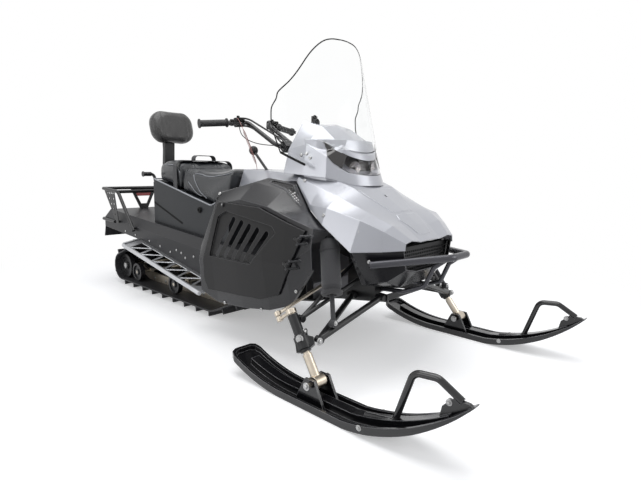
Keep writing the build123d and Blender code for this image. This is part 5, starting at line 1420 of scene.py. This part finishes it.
# %% Bar fittings
BAR_OUTER = (-0.147, -0.313, 1.036)  # the bar's right end, its bend, and its middle
BAR_INNER = (-0.082, -0.069, 1.059)
BAR_CLAMP = (0.150, 0.0, 0.930)
CLAMP_SHARES = (0.66, 0.90)  # of the way from the bar's outer end to its bend
CLAMP_RADIUS = 0.0175
CLAMP_WIDTH = 0.012
HOUSING_SHARE = 0.80
HOUSING_SIZE = (0.030, 0.040, 0.022)
HOSE_START = 0.86
HOSE_LINE = (0.25, 0.6, 0.92)  # shares of the way from the bend to the middle clamp
HOSE_SHIFTS = ((0.020, 0.004), (-0.019, 0.010))  # of a hose from the bar's middle line, up and forward
HOSE_RADIUS = 0.0048
bar_parts = []
for side in SIDES:
    outer, inner = on_side(BAR_OUTER, side), on_side(BAR_INNER, side)
    run = (inner - outer).normalized()
    for share in CLAMP_SHARES:
        foot = outer.lerp(inner, share) - run * (CLAMP_WIDTH / 2)
        bar_parts.append(knob(CLAMP_RADIUS, CLAMP_WIDTH, foot, run))
    middle = outer.lerp(inner, HOUSING_SHARE)
    bar_parts.append(rounded_block(HOUSING_SIZE, middle + Vector((0.018, 0.0, 0.012)), 0.005))
    bar_parts.append(knob(0.008, 0.010, middle + Vector((0.0, 0.0, 0.022)), (0.0, 0.0, 1.0)))
join(bar_parts)
finish_piece("bar_clamps", black_trim_and_painted_shade, "steering")

hoses = []
for side in SIDES:
    outer, inner, clamp = (on_side(point, side) for point in (BAR_OUTER, BAR_INNER, BAR_CLAMP))
    points = [outer.lerp(inner, HOSE_START), inner, *(inner.lerp(clamp, share) for share in HOSE_LINE)]
    for lift, forward in HOSE_SHIFTS:
        hoses.append(tube_mesh([point + Vector((forward, 0.0, lift)) for point in points], HOSE_RADIUS))
join(hoses)
finish_piece("bar_hoses", grip_rubber, "steering")


# %% Cable
CABLE_ROUTE = [(-0.086, -0.118, 1.040), (-0.078, -0.122, 1.010), (-0.050, -0.118, 0.975),
               (0.000, -0.100, 0.950), (0.060, -0.070, 0.936), (0.120, -0.030, 0.934)]
CABLE_RADIUS = 0.0022
SAME_PLACE = 0.0005  # points closer than this count as one


def route(points):
    """The points of the smooth line through a cord's route."""
    line = tube_mesh(points, 0.0)
    places = [vertex.co.copy() for vertex in line.data.vertices]
    discard(line)
    return [places[0]] + [place for before, place in zip(places, places[1:])
                          if (place - before).length > SAME_PLACE]


def run_length(places):
    """Length along a list of points."""
    return sum((second - first).length for first, second in zip(places, places[1:]))


cable_line = route(CABLE_ROUTE)
tube_mesh(CABLE_ROUTE, CABLE_RADIUS)
bar_cable = finish_piece("bar_cable", grip_rubber, "steering")
print("cable:", round(run_length(cable_line), 3), "m")

# %% [markdown]
# A lanyard's coils are a helix wound round its route. Each point of the route is moved out sideways by
# the coil's radius, in a direction that turns steadily with the distance walked, and the radius grows
# from nothing and shrinks to nothing at the two straight ends.

# %% Lanyard
lanyard_foot = surface_at("console", (0.050, -0.112, 0.815))[0]
LANYARD_ROUTE = [(-0.094, -0.128, 1.072), (-0.075, -0.140, 1.078), (-0.045, -0.144, 1.050),
                 (-0.020, -0.142, 1.010), (0.002, -0.136, 0.960), (0.020, -0.128, 0.915),
                 (0.034, -0.120, 0.870), tuple(lanyard_foot + Vector((0.0, 0.0, 0.020))),
                 tuple(lanyard_foot)]
LANYARD_RADIUS = 0.0014
COIL_RADIUS = 0.0052
COIL_PITCH = 0.0050
COIL_SIDES = 10
COIL_START = 0.30  # shares of the route between which the coils lie
COIL_END = 0.93
COIL_RAMP = 12.0  # how fast the coils open and close


def curly(places):
    """A helix round a line, with straight ends."""
    total = run_length(places)
    coiled = []
    walked = 0.0
    turn = 0.0
    step = COIL_PITCH / COIL_SIDES
    for start, end in zip(places, places[1:]):
        run = end - start
        along_run = run.normalized()
        across = along_run.cross(Vector((0.0, 1.0, 0.0))).normalized()
        over = across.cross(along_run)
        count = max(1, round(run.length / step))
        for k in range(count):
            share = (walked + run.length * k / count) / total
            opened = min(1.0, max(0.0, (share - COIL_START) * COIL_RAMP),
                         max(0.0, (COIL_END - share) * COIL_RAMP))
            spread = COIL_RADIUS * opened
            if spread > 0.0 or k == 0:
                turn += 2 * math.pi * run.length / count / COIL_PITCH
                aside = across * math.cos(turn) + over * math.sin(turn)
                coiled.append(start + run * (k / count) + spread * aside)
        walked += run.length
    return coiled + [places[-1]]


lanyard_line = curly(route(LANYARD_ROUTE))
tube_mesh(lanyard_line, LANYARD_RADIUS, sides=1)
lanyard = finish_piece("lanyard", lanyard_red, None, smooth=60.0)
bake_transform(lanyard)
print("lanyard:", round(run_length(lanyard_line), 3), "m along its turns")

# %% [markdown]
# ## Fasteners of the chassis
# The suspension is bolted together, and its bolts are what makes it read as a machine. A pivot gets a
# hex head on its washer, and some get one at both ends. The places are the pivots' own, moved outward
# until they meet the CAD surface.

# %% Suspension bolts
SEAT_SINK = 0.001
SEAT_REACH = 0.12  # how far out the search for the surface starts
FORWARD = (1.0, 0.0, 0.0)
BACKWARD = (-1.0, 0.0, 0.0)
OUTWARD = (0.0, -1.0, 0.0)  # on the right side


def seats(node, places):
    """Bolt seats on a node: (point, direction) pairs moved onto the surface along the direction."""
    found = []
    for point, direction in places:
        way = Vector(direction).normalized()
        hit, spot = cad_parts[node].ray_cast(Vector(point) + way * SEAT_REACH, -way)[:2]
        if hit:
            found.append((spot - way * SEAT_SINK, way))
    return found


def both_sides(places):
    """(point, direction) pairs and the same on the left side."""
    return places + [(mirror_place(point), mirror_place(direction)) for point, direction in places]


ARM_END = (0.828, -0.491, 0.206)
ARM_BOLTS = [(ARM_END, (1.0, 0.0, 0.1)), (ARM_END, BACKWARD), ((0.855, -0.418, 0.258), FORWARD)]
KNUCKLE_BOLTS = [((0.790, -0.520, 0.215), (0.5, -0.8, 0.1)), ((0.800, -0.500, 0.230), FORWARD)]
DAMPER_BOLTS = [((0.722, -0.300, 0.550), FORWARD), ((0.855, -0.418, 0.262), FORWARD)]
large_bolt = hex_bolt(radius=0.0085)
small_bolt = hex_bolt(radius=0.0058)
fasten(large_bolt, "arm_bolts", seats("suspension_arms", both_sides(ARM_BOLTS))
       + seats("knuckles", both_sides(KNUCKLE_BOLTS)))
fasten(small_bolt, "damper_bolts", seats("shocks", both_sides(DAMPER_BOLTS)))

# %% Ski bolts
SKI_Y = -0.530
SKI_BOLTS = [(1.386, 0.187), (1.123, 0.030)]  # x, z
SKI_PIVOT = (0.884, 0.080)
for side, name in zip(SIDES, ("right", "left")):
    for pattern, piece, body, spots in (
        (small_bolt, f"ski_bolts_{name}", f"ski_{name}", SKI_BOLTS),
        (large_bolt, f"ski_pivot_{name}", f"spindle_{name}", [SKI_PIVOT]),
    ):
        heads = [((x, SKI_Y * side, z), (0.0, way, 0.0)) for x, z in spots for way in SIDES]
        fasten(pattern, piece, seats(body, heads), body=body)

# %% [markdown]
# The tunnel's side plates carry a row of round heads. The front bumper's ends and the slide rails get
# fasteners too, and the rearmost wheels get caps on their hubs.

# %% Tunnel, bumper and rail fasteners
TUNNEL_SIDE = -0.278
TUNNEL_HEADS = [(-0.798, 0.361), (-0.548, 0.325), (-0.480, 0.345), (-0.427, 0.335), (-0.386, 0.312),
                (-0.980, 0.380), (-1.120, 0.392), (-0.667, 0.345), (-0.300, 0.330)]  # x, z
BUMPER_HEAD = ((0.906, -0.281, 0.478), (0.2, -1.0, 0.1))
RAIL_SIDE = -0.110
RAIL_HEADS = [(x, z) for z in (0.060, 0.132)
              for x in (-1.200, -1.050, -0.900, -0.750, -0.600, -0.450, -0.300)]
HUB = (-1.280, 0.230, 0.125)
HUB_CAP_RADIUS = 0.020
HUB_CAP_DEPTH = 0.008


def row_of_heads(side_y, spots):
    """Outward places at x, z spots of a side wall, on both sides."""
    return both_sides([((x, side_y, z), OUTWARD) for x, z in spots])


rivet = button_screw(radius=0.0068)
fasten(rivet, "tunnel_bolts", seats("tunnel", row_of_heads(TUNNEL_SIDE, TUNNEL_HEADS)))
fasten(rivet, "bumper_bolts", seats("front_bumper", both_sides([BUMPER_HEAD])))
fasten(small_bolt, "rail_bolts", seats("slide_rails", row_of_heads(RAIL_SIDE, RAIL_HEADS)))
hub_caps = []
for side in (-1.0, 1.0):
    spot = surface_at("idler_wheels", on_side(HUB, side))[0]
    seat = (HUB[0], spot.y - SEAT_SINK * side, HUB[2])
    hub_caps.append(knob(HUB_CAP_RADIUS, HUB_CAP_DEPTH, seat, (0.0, side, 0.0)))
join(hub_caps)
finish_piece("wheel_caps", grey_steel, "chassis")
for used in (large_bolt, small_bolt, rivet):
    discard(used)

# %% [markdown]
# ## Damper sleeves
# The dampers wear cloth sleeves. A band is laid round the upper end of each, and a disc covers the hole
# just below its lower end. Both are the stepped disc of the hub caps, a little wider than the sleeve, so
# that the rim shows all round.

# %% Damper bands
DAMPER_TOP = (0.722, -0.300, 0.550)
DAMPER_FOOT = (0.855, -0.418, 0.258)
BAND_SHARES = (0.14, 0.64)  # of the way down the damper
BAND_RADIUS = 0.0405
BAND_WIDTH = 0.012
bands = []
for side in SIDES:
    top, foot = on_side(DAMPER_TOP, side), on_side(DAMPER_FOOT, side)
    bands += [knob(BAND_RADIUS, BAND_WIDTH, top.lerp(foot, share), foot - top) for share in BAND_SHARES]
join(bands)
finish_piece("damper_bands", strap_webbing, "chassis")
